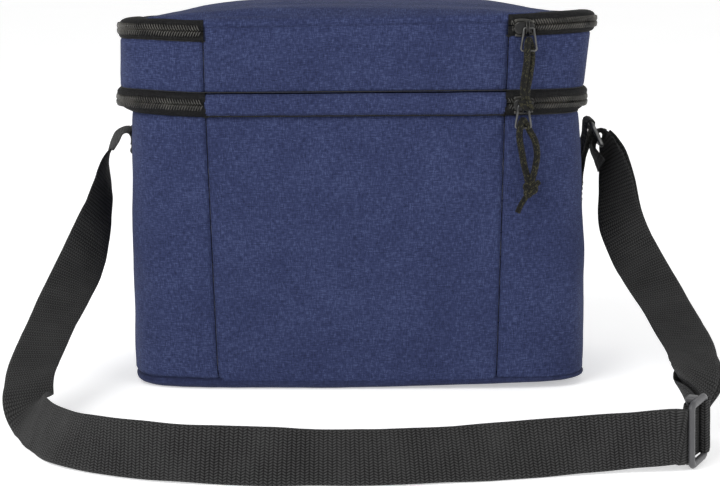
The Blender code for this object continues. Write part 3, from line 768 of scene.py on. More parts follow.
# ==================================================================== cloth relief
def bilinear(field, row_fraction, col_fraction):
    """Samples field at fractional row and column positions (0..1 each way)."""
    rows, cols = field.shape
    r = np.clip(row_fraction * (rows - 1), 0, rows - 1 - 1e-6)
    c = np.clip(col_fraction * (cols - 1), 0, cols - 1 - 1e-6)
    r0, c0 = r.astype(int), c.astype(int)
    tr, tc = r - r0, c - c0
    return (field[r0, c0] * (1 - tr) * (1 - tc) + field[r0 + 1, c0] * tr * (1 - tc)
            + field[r0, c0 + 1] * (1 - tr) * tc + field[r0 + 1, c0 + 1] * tr * tc)


def inflate(points, pins, pressure, cap, seed):
    """Cloth simulation of a closed ring of panels, pinned where pins is 1 and blown up a
    little. Returns how far each point moves along its normal, softly limited to cap."""
    rows, cols = points.shape[:2]
    # A little slack first, so that the cloth has somewhere to wrinkle.
    grid_step = 4.2
    u = np.arange(cols)[None, :] * grid_step
    v = np.arange(rows)[:, None] * grid_step
    normal = -normals(points, True)
    slack = waves(u, v, height=0.35, size=46, seed=seed) * (1 - pins)
    start = points + normal * slack[..., None]
    # Fans close both ends, so that the pressure has a volume to fill.
    low, top = rows * cols, rows * cols + 1
    vertices = np.vstack([start.reshape(-1, 3), start[0].mean(0), start[-1].mean(0)])
    faces = [list(f) for f in grid_faces(rows, cols, True, True)]
    for c in range(cols):
        n = (c + 1) % cols
        faces.append([low, n, c])
        faces.append([top, (rows - 1) * cols + c, (rows - 1) * cols + n])
    obj = make("relief", vertices, faces, NAVY)
    recalculate_normals(obj)
    group = obj.vertex_groups.new(name="pin")
    for i, weight in enumerate(np.r_[pins.ravel(), 1.0, 1.0]):
        if weight > 0:
            group.add([i], float(weight), "REPLACE")
    modifier = obj.modifiers.new("Cloth", "CLOTH")
    cloth = modifier.settings
    cloth.quality = 5
    cloth.mass = 0.3
    cloth.tension_stiffness = 20
    cloth.compression_stiffness = 20
    cloth.shear_stiffness = 8
    cloth.bending_stiffness = 0.6
    cloth.vertex_group_mass = "pin"
    cloth.use_pressure = True
    cloth.uniform_pressure_force = pressure
    cloth.effector_weights.gravity = 0
    last_frame = 20
    modifier.point_cache.frame_start = 1
    modifier.point_cache.frame_end = last_frame
    for number in range(1, last_frame + 1):
        bpy.context.scene.frame_set(number)
    evaluated = obj.evaluated_get(bpy.context.evaluated_depsgraph_get())
    moved = np.empty(len(evaluated.data.vertices) * 3, np.float32)
    evaluated.data.vertices.foreach_get("co", moved)
    moved = moved.reshape(-1, 3)[:rows * cols].reshape(rows, cols, 3) / MM
    bpy.data.objects.remove(obj, do_unlink=True)
    bpy.context.scene.frame_set(1)
    rise = ((moved - points) * normal).sum(2)
    return cap * np.tanh(rise / cap)


def relieve(casing, low, high, rows, cap, seed):
    """Gives a casing its cloth relief between two heights, one map for each kind of panel."""
    wrap_count, centre_count = 176, 46
    ring = []
    for z in np.linspace(low, high, rows):
        wrap = casing.row("wrap", np.linspace(0, 1, wrap_count), z)
        centre = casing.row("centre", np.linspace(1, 0, centre_count), z)
        ring.append(np.vstack([wrap, centre[1:-1]]))
    points = np.array(ring)
    pins = np.zeros(points.shape[:2])
    pins[0], pins[-1] = 1, 1
    pins[:, 0], pins[:, wrap_count - 1] = 1, 1
    rise = inflate(points, pins, pressure=4.0, cap=cap, seed=seed)
    casing.relief_low, casing.relief_high = low, high
    casing.relief = {
        "wrap": rise[:, :wrap_count],
        "centre": np.concatenate([rise[:, :1], rise[:, wrap_count:][:, ::-1],
                                  rise[:, wrap_count - 1:wrap_count]], 1)}


relieve(LOWER, low=3.0, high=181.0, rows=44, cap=3.4, seed=11)
relieve(UPPER, low=198.0, high=240.0, rows=12, cap=2.0, seed=23)


def settle(points):
    """Lean of the soft bag: above the lower zip it tilts up to the right, both ends lift
    and the back corners drop."""
    points = np.array(points, float)
    x, y, z = points[..., 0], points[..., 1], points[..., 2]
    tilt = np.interp(z, (120, 182, 197, 231, 247, 256), (0.0, 0.006, 0.008, 0.018, 0.019, 0.010))
    left_lift = np.interp(z, (150, 186, 236, 250), (0, 2.1, 2.2, 1.3))
    right_lift = np.interp(z, (200, 235, 250), (0, 1.2, 0.8))
    lift = left_lift * smooth_step((-x - 98) / 56) + right_lift * smooth_step((x - 96) / 56)
    corner = np.where(x > 0, 5.6, 4.0) * smooth_step((np.abs(x) - 85) / 60)
    drop = corner * smooth_step((y + 72) / 130) * np.interp(z, (226, 243), (0, 1))
    sag = np.interp(z, (225, 240, 250), (0, -0.6, 0))
    points[..., 2] = z + tilt * x + sag + lift - drop
    return points


# ==================================================================== sewn panels
# Distances from a seam at which a panel has extra points.
EDGE_STEPS = (0.35, 0.8, 1.4, 2.2, 3.2, 4.6, 6.5)


def edge_fractions(length, step):
    """Fractions 0..1 along a panel, closer together near both ends."""
    edge = np.array(EDGE_STEPS) / length
    middle = np.linspace(edge[-1], 1 - edge[-1], int(length / step))
    return np.unique(np.round(np.r_[0, edge, middle, 1 - edge, 1], 7))


def edge_heights(low, high):
    """Heights of a panel's rows, closer together near both ends."""
    edge = np.array(EDGE_STEPS[:-1])
    middle = np.arange(low + 6, high - 5, 3.2)
    return np.unique(np.round(np.r_[low, low + edge, middle, high - edge, high], 5))


def seam_dip(distance, width=1.35, depth=1.7):
    """The cloth is drawn in along a seam."""
    return -depth * np.exp(-(np.maximum(distance, 0) / width) ** 2)


def pucker(distance, along, height=0.22, pitch=8.5, reach=9.0):
    """Stitch tension: a small ripple along a seam that dies away from it."""
    wave = np.sin(2 * math.pi * along / pitch + 1.3 * np.sin(along / 23.0))
    return height * wave * np.exp(-np.maximum(distance, 0) / reach)


def turn_in(points, normal, depth, first_depth=None):
    """Seam allowance: the border of a panel turns straight in behind its face."""
    first = depth if first_depth is None else first_depth
    points = np.concatenate([points[:1] - normal[:1] * first, points,
                             points[-1:] - normal[-1:] * depth], 0)
    normal = np.concatenate([normal[:1], normal, normal[-1:]], 0)
    return np.concatenate([points[:, :1] - normal[:, :1] * depth, points,
                           points[:, -1:] - normal[:, -1:] * depth], 1)


def soft_panel(name, kind, casing, low, high, body, low_edge, top_edge, seed, ripple=0.35,
               press=None):
    """One sewn panel: crowned by the cloth relief, drawn in at its seams.
    low_edge and top_edge are the (width, depth) of the dip along those seams."""
    length = PANEL_LENGTH[kind]
    fractions = edge_fractions(length, step=3.2)
    heights = edge_heights(low, high)
    gap = 0.32 / length
    points = casing.grid(kind, gap + fractions * (1 - 2 * gap), heights)
    normal = normals(points)
    outward = points * (1, 1, 0) if kind == "wrap" else np.array((0, -1, 0))
    inward = (normal * outward).sum() < 0
    if inward:
        normal = -normal
    across, z = np.meshgrid(fractions, heights)
    height_fraction = (z - casing.relief_low) / (casing.relief_high - casing.relief_low)
    rise = bilinear(casing.relief[kind], height_fraction, across)
    along = across * length
    side = np.minimum(along, length - along)
    above, below = z - low, high - z
    rise = rise + (waves(along, z, height=ripple, size=60, seed=seed) * smooth_step(side / 14)
                   * smooth_step(above / 10) * smooth_step(below / 10))
    rise = rise + (waves(along, z, height=ripple * 0.28, size=17, seed=seed + 1)
                   * smooth_step(side / 8) * smooth_step(above / 8) * smooth_step(below / 8))
    rise = rise + seam_dip(side) + pucker(side, z)
    rise = rise + seam_dip(above, *low_edge) + pucker(above, along, height=0.18)
    rise = rise + seam_dip(below, *top_edge) + pucker(below, along, height=0.18)
    if press is not None:
        rise = press(points, rise)
    points = turn_in(points + normal * rise[..., None], normal, depth=2.6)
    obj = sheet(name, settle(points), NAVY, 0.9, flip=not inward,
                uv=cloth_uv(points))
    turn_outward(obj, None if kind == "wrap" else WALL_FORWARD)
    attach(obj, body)
    return obj


def anchor_dent(points, rise):
    """The sewn strap anchors hold the ends in."""
    x, y, z = points[..., 0], points[..., 1], points[..., 2]
    held = (smooth_step((27 - np.abs(y)) / 10) * smooth_step((z - 100) / 12)
            * smooth_step((185 - z) / 5) * (np.abs(x) > 120))
    limit = np.where(x < 0, -2.0, -0.2)
    return rise * (1 - held) + np.minimum(rise, limit) * held


panel = soft_panel("lower_wrap", "wrap", LOWER, 6.2, 182.6, "lower_body", low_edge=(1.4, 1.9),
                   top_edge=(1.2, 1.0), seed=31, press=anchor_dent)
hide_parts("lower_wrap_panel", "lower_wrap_foam")
panel = soft_panel("lower_front", "centre", LOWER, 3.2, 182.6, "lower_body",
                   low_edge=(1.2, 1.0), top_edge=(1.4, 1.5), seed=47)
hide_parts("lower_center_panel", "lower_center_foam")
panel = soft_panel("upper_wrap", "wrap", UPPER, 198.1, 233.2, "upper_compartment",
                   low_edge=(1.2, 0.8), top_edge=(1.2, 0.8), seed=61, ripple=0.3)
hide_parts("upper_wrap_panel", "upper_wrap_foam")
panel = soft_panel("upper_front", "centre", UPPER, 197.9, 242.2, "upper_compartment",
                   low_edge=(1.4, 1.5), top_edge=(2.4, 0.5), seed=73, ripple=0.3)
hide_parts("upper_center_panel", "upper_center_foam")


# ============================================================================ zips
def zip_tape(name, body, node, seed, levels):
    """Strip of tape round the wrap. levels are (z, half-width, half-depth, shift)."""
    ripple = 0.25
    fractions = edge_fractions(PANEL_LENGTH["wrap"], step=3.4)
    rows = [strip_row("wrap", fractions, plan, ZIP_EXPONENT, z, trim=0.7)
            for z, *plan in catmull(levels, 3)]
    points = np.array(rows)
    normal = -normals(points)
    along = fractions[None, :] * PANEL_LENGTH["wrap"]
    down = np.arange(len(rows))[:, None] * 0.7
    fade = 0.35 + 0.65 * np.sin(np.linspace(0, math.pi, len(rows)))[:, None]
    rise = waves(along, down, height=ripple, size=38, seed=seed) * fade
    points = points + normal * rise[..., None]
    points[..., 2] += waves(along, 0 * down, height=ripple * 0.6, size=70, seed=seed + 5)
    obj = sheet(name, settle(points), TAPE, 0.7)
    turn_outward(obj)
    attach(obj, body)
    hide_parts(node)


zip_tape("lower_zip_tape_bottom", "lower_body", "lower_zip_lower_tape", 101, [
    (182.2, 148.8, 83.3, -4.4), (182.9, 150.3, 84.5, -4.6), (184.4, 153.0, 86.0, -4.9),
    (186.2, 155.4, 87.0, -5.2), (187.3, 156.4, 87.3, -5.3), (188.4, 156.3, 86.9, -5.4),
    (190.0, 155.8, 86.4, -5.4)])
zip_tape("lower_zip_tape_top", "upper_compartment", "lower_zip_upper_tape", 107, [
    (190.6, 155.8, 86.4, -5.4), (192.2, 156.4, 87.0, -5.4), (193.4, 157.0, 87.7, -5.3),
    (194.9, 157.7, 88.2, -5.2), (196.5, 157.6, 88.0, -5.2), (197.6, 156.5, 87.0, -5.2),
    (198.3, 155.2, 85.7, -5.2)])
zip_tape("upper_zip_tape_bottom", "upper_compartment", "upper_zip_lower_tape", 113, [
    (232.9, 156.8, 86.0, -2.8), (233.6, 158.2, 87.0, -2.6), (235.0, 159.0, 87.6, -2.4),
    (236.6, 159.2, 87.6, -2.2), (237.4, 159.0, 87.3, -2.1), (238.4, 158.4, 86.8, -2.0),
    (239.8, 158.0, 86.5, -2.0)])
zip_tape("upper_zip_tape_top", "lid", "upper_zip_upper_tape", 127, [
    (240.4, 158.0, 86.5, -2.0), (241.8, 158.3, 86.8, -2.0), (243.0, 158.6, 87.4, -2.0),
    (244.4, 158.4, 87.5, -2.0), (245.7, 157.2, 87.0, -2.0), (246.8, 154.8, 85.4, -2.0),
    (247.3, 152.0, 83.2, -2.0), (247.5, 148.5, 81.0, -2.0)])


def zip_coil(name, z, plan, side, phase, body, node):
    """One nylon coil: a flattened helix whose heads reach past the middle of the chain.
    side is -1 below the chain and 1 above it; phase is in turns."""
    pitch, wire_radius, steps_per_turn = 1.75, 0.33, 9
    count = 3000
    fractions = np.linspace(0.0012, 0.9988, count)
    xy, distance = strip_line("wrap", fractions, plan, ZIP_EXPONENT, seam_x(z))
    wander = waves(distance, 0 * distance, height=0.15, size=70, seed=77)
    line = settle(np.c_[xy, np.full(count, z) + wander])
    run = run_length(line)
    along = tangents(line)
    up = np.array((0.0, 0.0, 1.0))
    out = unit(np.cross(up, along))
    if (out[:, :2] * xy).sum() < 0:
        out = -out
    turn = np.arange(0, int(run[-1] / pitch), 1 / steps_per_turn)
    at = (turn + phase) * pitch
    at = at[at < run[-1] - 0.3]
    angle = 2 * math.pi * turn[:len(at)]
    reach = 1.72 - 1.80 * np.cos(angle) + 0.25 * np.cos(2 * angle)
    depth = 0.92 * np.sin(angle)
    path = (sample(at, run, line) + sample(at, run, out) * depth[:, None]
            + up[None] * (side * reach)[:, None]
            + sample(at, run, along) * (0.30 * np.maximum(reach, 0))[:, None])
    obj = sweep(name, path, wire_radius, COIL, sides=6)
    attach(obj, body)
    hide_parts(node)


for level, z, plan, below, above in (
        ("lower", LOWER_ZIP_Z, (157.2, 87.6, -5.4), "lower_body", "upper_compartment"),
        ("upper", UPPER_ZIP_Z, (159.4, 87.8, -2.0), "upper_compartment", "lid")):
    zip_coil(f"{level}_zip_coil_bottom", z, plan, -1, 0.0, below, f"{level}_zip_lower_coil")
    zip_coil(f"{level}_zip_coil_top", z, plan, 1, 0.5, above, f"{level}_zip_upper_coil")


# ============================================================= front hinge strips
def make_hinge_strip():
    """Fabric strip across the front that bends at the lower zip."""
    low, high = 182.6, 197.9
    strip = Casing(ZIP_EXPONENT, [
        (low, 152.0, 86.2, -3.0), (185.0, 153.5, 87.3, -3.5), (190.3, 155.0, 88.3, -4.2),
        (195.0, 155.0, 87.8, -4.2), (high, 154.4, 86.8, -4.4)])
    heights = np.r_[np.linspace(low, high, 22), low + 0.3, low + 0.7, high - 0.3, high - 0.7]
    heights = np.unique(np.round(heights, 4))
    length = PANEL_LENGTH["centre"]
    fractions = edge_fractions(length, step=3.0)
    points = strip.grid("centre", fractions, heights)
    normal = front_normals(points)
    along = fractions[None, :] * length
    side = np.minimum(along, length - along)
    z = heights[:, None]
    rise = (seam_dip(side, width=1.2, depth=0.8) + seam_dip(z - low, width=1.3, depth=1.5)
            + seam_dip(high - z, width=1.3, depth=1.5))
    rise = rise + waves(along, z, height=0.28, size=42, seed=201) * smooth_step(side / 8)
    rise = rise + pucker(z - low, along, height=0.2, pitch=9.0, reach=5.0)
    rise = rise + pucker(high - z, along, height=0.2, pitch=8.0, reach=5.0)
    points = turn_in(points + normal * rise[..., None], normal, depth=1.6)
    obj = sheet("hinge_strip", settle(points), NAVY, 0.9)
    turn_outward(obj, WALL_FORWARD)
    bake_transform(obj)
    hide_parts("hinge_band")


def make_lid_hinge_strip():
    """Front edge of the lid: the cloth rolls over the top edge and is what the lid turns on."""
    length = PANEL_LENGTH["centre"]
    fractions = edge_fractions(length, step=3.0)
    # (half-depth, z) from the front face over the top.
    roll = catmull([(85.8, 241.2), (86.7, 242.3), (87.5, 244.0), (87.2, 245.6), (86.0, 246.9),
                    (84.2, 247.9), (81.8, 248.6), (79.0, 249.0), (76.0, 249.3),
                    (73.0, 249.5)], 3)
    points = np.array([
        strip_row("centre", fractions, (156.0 - (86.3 - half_depth) * 0.2, half_depth, -2.0),
                  ZIP_EXPONENT, z) for half_depth, z in roll])
    normal = front_normals(points)
    along = fractions[None, :] * length
    side = np.minimum(along, length - along)
    down = run_length(points.mean(1))[:, None]
    rise = seam_dip(side, width=1.3, depth=1.0) + (
        waves(along, down, height=0.3, size=46, seed=207)
        * smooth_step(side / 8) * smooth_step(down / 3))
    rise = rise + seam_dip(down, width=1.6, depth=0.35)
    rise = rise + seam_dip(down[-1] - down, width=1.4, depth=1.0)
    points = turn_in(points + normal * rise[..., None], normal, depth=1.6, first_depth=1.2)
    obj = sheet("lid_hinge_strip", settle(points), NAVY, 0.9)
    turn_outward(obj, Vector((0, -0.6, 1)))
    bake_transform(obj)


make_hinge_strip()
make_lid_hinge_strip()


# ============================================================================= lid
LID_SHIFT = -2.0


def lid_height(x, y):
    """Crown of the padded lid, with the soft roll along its front edge."""
    edge = 246.6
    radial = np.maximum(np.abs((x + 2.0) / 152.0), np.abs(y / 84.5))
    depth_crown = 1 - np.minimum(np.abs(y / 86.0), 1) ** 3.0
    crown = np.interp(
        x, (-156, -148, -140, -130, -108, -75, -50, 0, 50, 80, 112, 134, 148, 156),
        (245.0, 245.2, 245.9, 247.3, 250.3, 253.4, 254.7, 255.1, 254.7, 253.0, 249.8, 247.0,
         245.6, 245.2))
    height = edge + ((crown - edge) * (0.25 + 0.75 * depth_crown)
                     * smooth_step((86.2 - np.abs(y)) / 16 + 0.35))
    # Takes back, inside the edge, most of the lean that settle() adds.
    inner = smooth_step((0.985 - radial) / 0.13)
    lean = (0.0165 * x - 0.6 + 2.2 * smooth_step((-x - 98) / 56)
            + 1.3 * smooth_step((x - 96) / 56))
    middle = smooth_step((102 - np.abs(x)) / 10)
    roll = 1.1 * np.exp(-((y + 76) / 6.5) ** 2) - 1.3 * np.exp(-((y + 57) / 8) ** 2)
    return height - lean * inner + roll * (0.35 + 0.65 * middle)


def lid_rings(count, scales):
    """Rings of the lid's outline at several scales: x and y."""
    outline = resample(plan_outline((151.6, 84.4, 0.0), ZIP_EXPONENT), count, True)
    rings = outline[None] * np.asarray(scales)[:, None, None]
    return rings[..., 0] + LID_SHIFT, rings[..., 1]


def capped_rings(name, points, uv, material):
    """Rings of points, the last one filled. uv has one extra column."""
    rows, cols = points.shape[:2]
    faces = list(grid_faces(rows, cols, True))
    faces.append(range((rows - 1) * cols, rows * cols))
    corners = np.vstack([grid_uv(uv, rows, cols, True), uv[-1, :cols]])
    return make(name, points.reshape(-1, 3), faces, material, corners)


def make_lid():
    """Cloth cover of the lid: relief from a coarser grid that is pinned at its edge."""
    columns = 420
    scales = np.r_[np.linspace(0.995, 0.90, 12), np.linspace(0.885, 0.04, 34)]
    x, y = lid_rings(columns, scales)
    points = np.stack([x, y, lid_height(x, y)], -1)

    coarse_scales = np.linspace(0.985, 0.05, 26)
    coarse_x, coarse_y = lid_rings(200, coarse_scales)
    coarse = np.stack([coarse_x, coarse_y, lid_height(coarse_x, coarse_y)], -1)
    pins = np.zeros(coarse.shape[:2])
    pins[0] = 1
    relief = inflate(coarse, pins, pressure=3.0, cap=2.2, seed=41)
    relief = np.concatenate([relief, relief[:, :1]], 1)
    inward = (coarse_scales[0] - scales) / (coarse_scales[0] - coarse_scales[-1])
    rise = bilinear(relief, np.clip(inward, 0, 1)[:, None], np.arange(columns)[None, :] / columns)
    rise = rise * smooth_step((1 - scales) / 0.08)[:, None]
    rise = rise + (waves(x, y, height=0.35, size=75, seed=301)
                   * smooth_step((1 - scales) / 0.1)[:, None])
    rise = rise + waves(x, y, height=0.08, size=20, seed=302)
    points = points - normals(points, True) * rise[..., None]

    # Rolled edge below the crown: (scale, drop).
    edge = np.array([(0.975, -2.6), (0.992, -1.9), (1.001, -1.1), (1.003, -0.5), (1.001, -0.1)])
    x, y = lid_rings(columns, edge[:, 0])
    z = lid_height(x * 0.995, y * 0.995) + edge[:, 1:] - 0.2
    points = np.concatenate([np.stack([x, y, z], -1), points], 0)

    x, y, z = points[..., 0], points[..., 1], points[..., 2]
    uv = np.stack([x, y + (z - 247) * np.sign(y + 1e-6) * -0.6], -1)
    uv = np.concatenate([uv, uv[:, :1]], 1)
    obj = capped_rings("lid_cover_cloth", settle(points), uv, NAVY)
    turn_outward(obj, Vector((0, 0, 1)))
    add_thickness(obj, 0.9)
    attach(obj, "lid")
    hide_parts("lid_cover", "lid_foam")


make_lid()


# ============================================================ sliders and pullers
def ribbon(name, path, across, width, thick, cols=13, normal=None, material=WEBBING,
           uv_start=0.0, relief=None, edge=None):
    """Flat strap along a path with rounded selvedges. across points along its width.
    relief(u, distance) and edge(u, distance) add height and side shift, with u -1..1."""
    path = np.asarray(path, float)
    across = np.broadcast_to(np.asarray(across, float), path.shape)
    if normal is None:
        normal = np.cross(tangents(path), across)
    half_width = np.broadcast_to(np.asarray(width) / 2, len(path))
    u = np.linspace(-1, 1, cols)
    profile = np.sqrt(np.clip(1 - ((np.abs(u) - 0.93) / 0.07).clip(0) ** 2, 0.12, 1)) * thick / 2
    ring_u = np.r_[u, 1.012, u[::-1], -1.012][None, :] * np.ones((len(path), 1))
    height = np.r_[profile, 0.0, -profile[::-1], 0.0][None, :] * np.ones((len(path), 1))
    run = run_length(path)
    if relief is not None:
        height = height + relief(ring_u, run[:, None])
    side = ring_u * half_width[:, None]
    if edge is not None:
        side = side + np.sign(ring_u) * np.abs(ring_u) ** 3 * edge(ring_u, run[:, None])
    points = (path[:, None] + across[:, None] * side[..., None]
              + normal[:, None] * height[..., None])
    points[..., 2] = np.maximum(points[..., 2], 0.1)
    uv_u = np.r_[(u + 1) * 0.5, 1.02, (u[::-1] + 1) * 0.5, -0.02, 0.0]
    uv = uv_grid(uv_u * 2 * float(np.mean(half_width)), run + uv_start)
    obj = tube(name, points, material, uv)
    recalculate_normals(obj)
    return obj


def plate(outline, outer, inner, at, crown=0.35):
    """Thin cast plate: outline in x and z, from y outer to y inner, with eased edges."""
    middle = outline.mean(0)
    # (scale of the outline, y)
    levels = ((0.62, outer - crown), (0.9, outer - crown * 0.55), (0.965, outer),
              (1.0, outer + (inner - outer) * 0.3), (1.0, inner), (0.9, inner + 0.05))
    rows = []
    for scale, y in levels:
        p = middle + (outline - middle) * scale
        rows.append(np.c_[p[:, 0] + at[0], np.full(len(p), y + at[1]), p[:, 1] + at[2]])
    obj = tube("slider_part", np.array(rows), SLIDER_METAL)
    recalculate_normals(obj)
    return obj


def make_slider(name, z, arch_shift, body):
    """Zip slider: shield-shaped plates, side flanges and an arched crown for the wire."""
    at = np.array((SLIDER_X, -89.4, z))
    shield = rounded_outline([(-7.2, -2.6), (-7.2, 2.6), (-4.6, 4.9), (1.5, 4.7), (6.9, 3.3),
                              (6.9, -3.3), (1.5, -4.7), (-4.6, -4.9)], 2.0, 5)
    shield = shield * np.array((0.94, 0.86))
    parts = [plate(shield, -0.35, 0.75, at), plate(shield * 0.96, 3.2, 3.9, at, crown=0.0)]
    for side in (-1, 1):
        lip = [at + (x, 1.0, side * dz)
               for x, dz in ((-6.2, 4.6), (-3, 5.0), (1.5, 4.75), (5.8, 3.7))]
        parts.append(sweep("slider_part", catmull(lip, 5), 0.62, SLIDER_METAL, sides=8,
                           squash=(1.0, 1.5)))
    post = rounded_outline([(-1.2, -1.6), (-1.2, 1.6), (0.9, 0.8), (0.9, -0.8)], 0.5, 3)
    parts.append(plate(post + np.array((-5.3, 0)), 0.3, 3.4, at, crown=0.0))
    arch = catmull([(0, -0.2, 4.3), (0, -1.6, 4.0), (0, -3.5, 2.6), (0, -4.35, 0.6),
                    (0, -4.2, -1.2), (0, -3.0, -3.1), (0, -1.4, -4.0), (0, -0.2, -4.3)], 5)
    arch = arch + at + (arch_shift, 0, 0)
    width = 3.2 - 0.9 * np.sin(np.linspace(0, math.pi, len(arch)))
    parts.append(ribbon("slider_part", arch, (1.0, 0, 0), width, 1.0, cols=9,
                        material=SLIDER_METAL))
    obj = join(name + "_body", parts)
    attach(obj, body)
    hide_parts(body)


make_slider("upper_zip_slider", UPPER_SLIDER_Z, 1.6, "upper_slider")
make_slider("lower_zip_slider", LOWER_SLIDER_Z, 0.4, "lower_slider")


def make_wire(name, z, shift, body, node):
    """Trapezoid wire loop hanging from the slider's crown."""
    top, bottom, corner, length, tilt = 3.3, 4.9, 1.4, 14.5, math.radians(5)
    loop = corner_arcs(((top - corner, -corner, 0), (-top + corner, -corner, 90),
                        (-bottom + corner, -length + corner, 180),
                        (bottom - corner, -length + corner, 270)), corner)
    path = [(SLIDER_X + shift + u, -91.6 + v * math.sin(tilt), z + v * math.cos(tilt))
            for u, v in loop]
    obj = sweep(name, resample(path, 72, True), 0.78, METAL, sides=12, closed=True)
    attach(obj, body)
    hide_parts(node)


make_wire("upper_puller_wire", UPPER_SLIDER_Z, 2.4, "upper_pull", "upper_pull_wire")
make_wire("lower_puller_wire", LOWER_SLIDER_Z, -0.6, "lower_pull", "lower_pull_wire")

CORD_PLANE = np.array((0.0, -92.86, 0.0))


def braid_bump(angle, distance):
    """Relief of the crossing carriers of a braid."""
    right, left = 4 * angle + distance * 2.1, 4 * angle - distance * 2.1
    return 0.20 * (np.abs(np.sin(right)) * np.abs(np.sin(left))) ** 0.6 - 0.08


def cord_tube(path, radius):
    curve = catmull(np.array(path) + CORD_PLANE, 12)
    points = resample(curve, max(int(run_length(curve)[-1] / 0.42), 8))
    return sweep("cord_part", points, radius, CORD, sides=20, bump=braid_bump)


def knot(at, size, radius, turn):
    """Overhand knot, pulled tight and turned about Y."""
    flatness = 0.8
    t = np.linspace(0, 2 * math.pi, 40)[:-1]
    x = (np.sin(t) + 2 * np.sin(2 * t)) * size
    z = (np.cos(t) - 2 * np.cos(2 * t)) * size * 1.15
    y = -np.sin(3 * t) * size * flatness
    c, s = math.cos(turn), math.sin(turn)
    path = np.stack([x * c - z * s, y, x * s + z * c], 1) + np.array(at) + CORD_PLANE
    return sweep("cord_part", resample(path, 110, True), radius, CORD, sides=16,
                 closed=True)


def finish_cord(name, parts, body, node):
    obj = join(name, parts)
    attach(obj, body)
    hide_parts(node)


# Cord paths are (x, y from the cord plane, z): a long loop, a knot and loose ends.
finish_cord("upper_puller_cord", [
    cord_tube([(106.4, -5.5, 194.5), (105.2, -4.9, 201.0), (106.2, -4.2, 210.0),
               (107.4, -3.7, 219.0), (107.6, -3.1, 226.5), (108.0, -1.7, 230.8),
               (108.9, 0.0, 232.4), (110.0, 1.6, 230.6), (110.9, 2.0, 226.0),
               (110.9, 0.4, 219.0), (109.6, -2.2, 210.5), (107.9, -3.8, 201.5),
               (107.4, -4.9, 194.5)], 2.15),
    knot((106.9, -5.5, 191.6), size=0.92, radius=1.8, turn=0.5),
    cord_tube([(108.2, -5.9, 192.0), (110.3, -7.1, 190.6), (111.6, -7.5, 188.4)], 1.55),
], "upper_cord", "upper_pull_cord")
finish_cord("lower_puller_cord", [
    cord_tube([(110.2, -0.6, 138.0), (108.6, 0.6, 144.5), (106.6, -0.2, 152.0),
               (104.9, -0.8, 161.0), (103.4, -2.4, 169.0), (103.6, -2.6, 175.5),
               (104.6, -1.2, 179.6), (106.2, 0.4, 180.4), (107.8, 1.4, 178.2),
               (110.6, 0.6, 173.0), (113.8, -0.6, 166.5), (115.0, -0.8, 158.0),
               (113.8, -0.4, 149.0), (112.0, -0.6, 141.5), (111.2, -0.9, 138.0)], 2.1),
    knot((110.6, -1.0, 135.4), size=1.2, radius=1.9, turn=-0.4),
    cord_tube([(109.6, -0.8, 133.0), (107.0, -0.4, 128.6), (104.6, -0.2, 124.4),
               (102.9, 0.2, 120.2)], 1.75),
    cord_tube([(111.4, -1.2, 137.0), (114.6, -1.4, 138.8), (116.6, -0.6, 140.6)], 1.7),
], "lower_cord", "lower_pull_cord")


# ================================================== anchors, rings and end loops
def folded_strip(name, path, width, thick, node, wobble, seed):
    """Webbing folded in the x-z plane, its width along Y."""
    path = np.array([(x, 0.0, z) for x, z in path])
    obj = ribbon(
        name, resample(path, max(24, len(path) * 3)), (0.0, 1.0, 0.0), width, thick,
        relief=lambda u, s: waves(u * 16, s, height=wobble * 0.4, size=22, seed=seed) * 0.5,
        edge=lambda u, s: waves(s, 0 * u, height=wobble, size=18, seed=seed + 3))
    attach(obj, "lower_body")
    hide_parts(node)


def make_anchor(tag, side, wall, flare, ring_top):
    """Doubled webbing up the end wall and over the top bar of the ring.
    wall is the distance of the wall from the middle, flare moves its upper part out."""
    fold = RING_WIRE + 1.0
    bar, bar_z = abs(ring_top[0]), ring_top[1]
    path = [(wall + 1.6, 113.5), (wall + 1.6, 124.0), (wall + 1.6, 134.0),
            (wall + 1.4 + flare * 0.4, 146.0), (bar - fold - 0.3, bar_z - 9.0)]
    path += arc(bar, bar_z, fold, 180, 0, 12)
    path += [(bar - fold + 1.5 + flare * 1.3, bar_z - 8.0), (wall + 2.9 + flare * 1.4, 148.0),
             (wall + 3.4 + flare * 0.3, 136.0), (wall + 3.2, 124.0), (wall + 3.2, 113.0)]
    folded_strip("strap_anchor_" + tag, [(side * x, z) for x, z in path], 30.0, 1.25,
                 "strap_tab_" + tag, wobble=0.25, seed=11 + side)


def make_ring(tag, ring_top, ring_bottom):
    """Rounded rectangular wire ring that hangs from its top bar towards ring_bottom."""
    half, corner, length = 18.8, 3.2, 16.3
    start = np.array((ring_top[0], 0, ring_top[1]))
    down = unit(np.array((ring_bottom[0] - ring_top[0], 0, ring_bottom[1] - ring_top[1])))
    loop = corner_arcs(((corner, half - corner, 90), (corner, -half + corner, 180),
                        (length - corner, -half + corner, 270),
                        (length - corner, half - corner, 0)), corner)
    path = start + down * loop[:, :1] + np.array((0, 1, 0)) * loop[:, 1:]
    ring = sweep("ring_" + tag, resample(path, 110, True), RING_WIRE, RING_METAL,
                 sides=14, closed=True)
    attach(ring, "lower_body")
    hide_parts("strap_ring_" + tag)


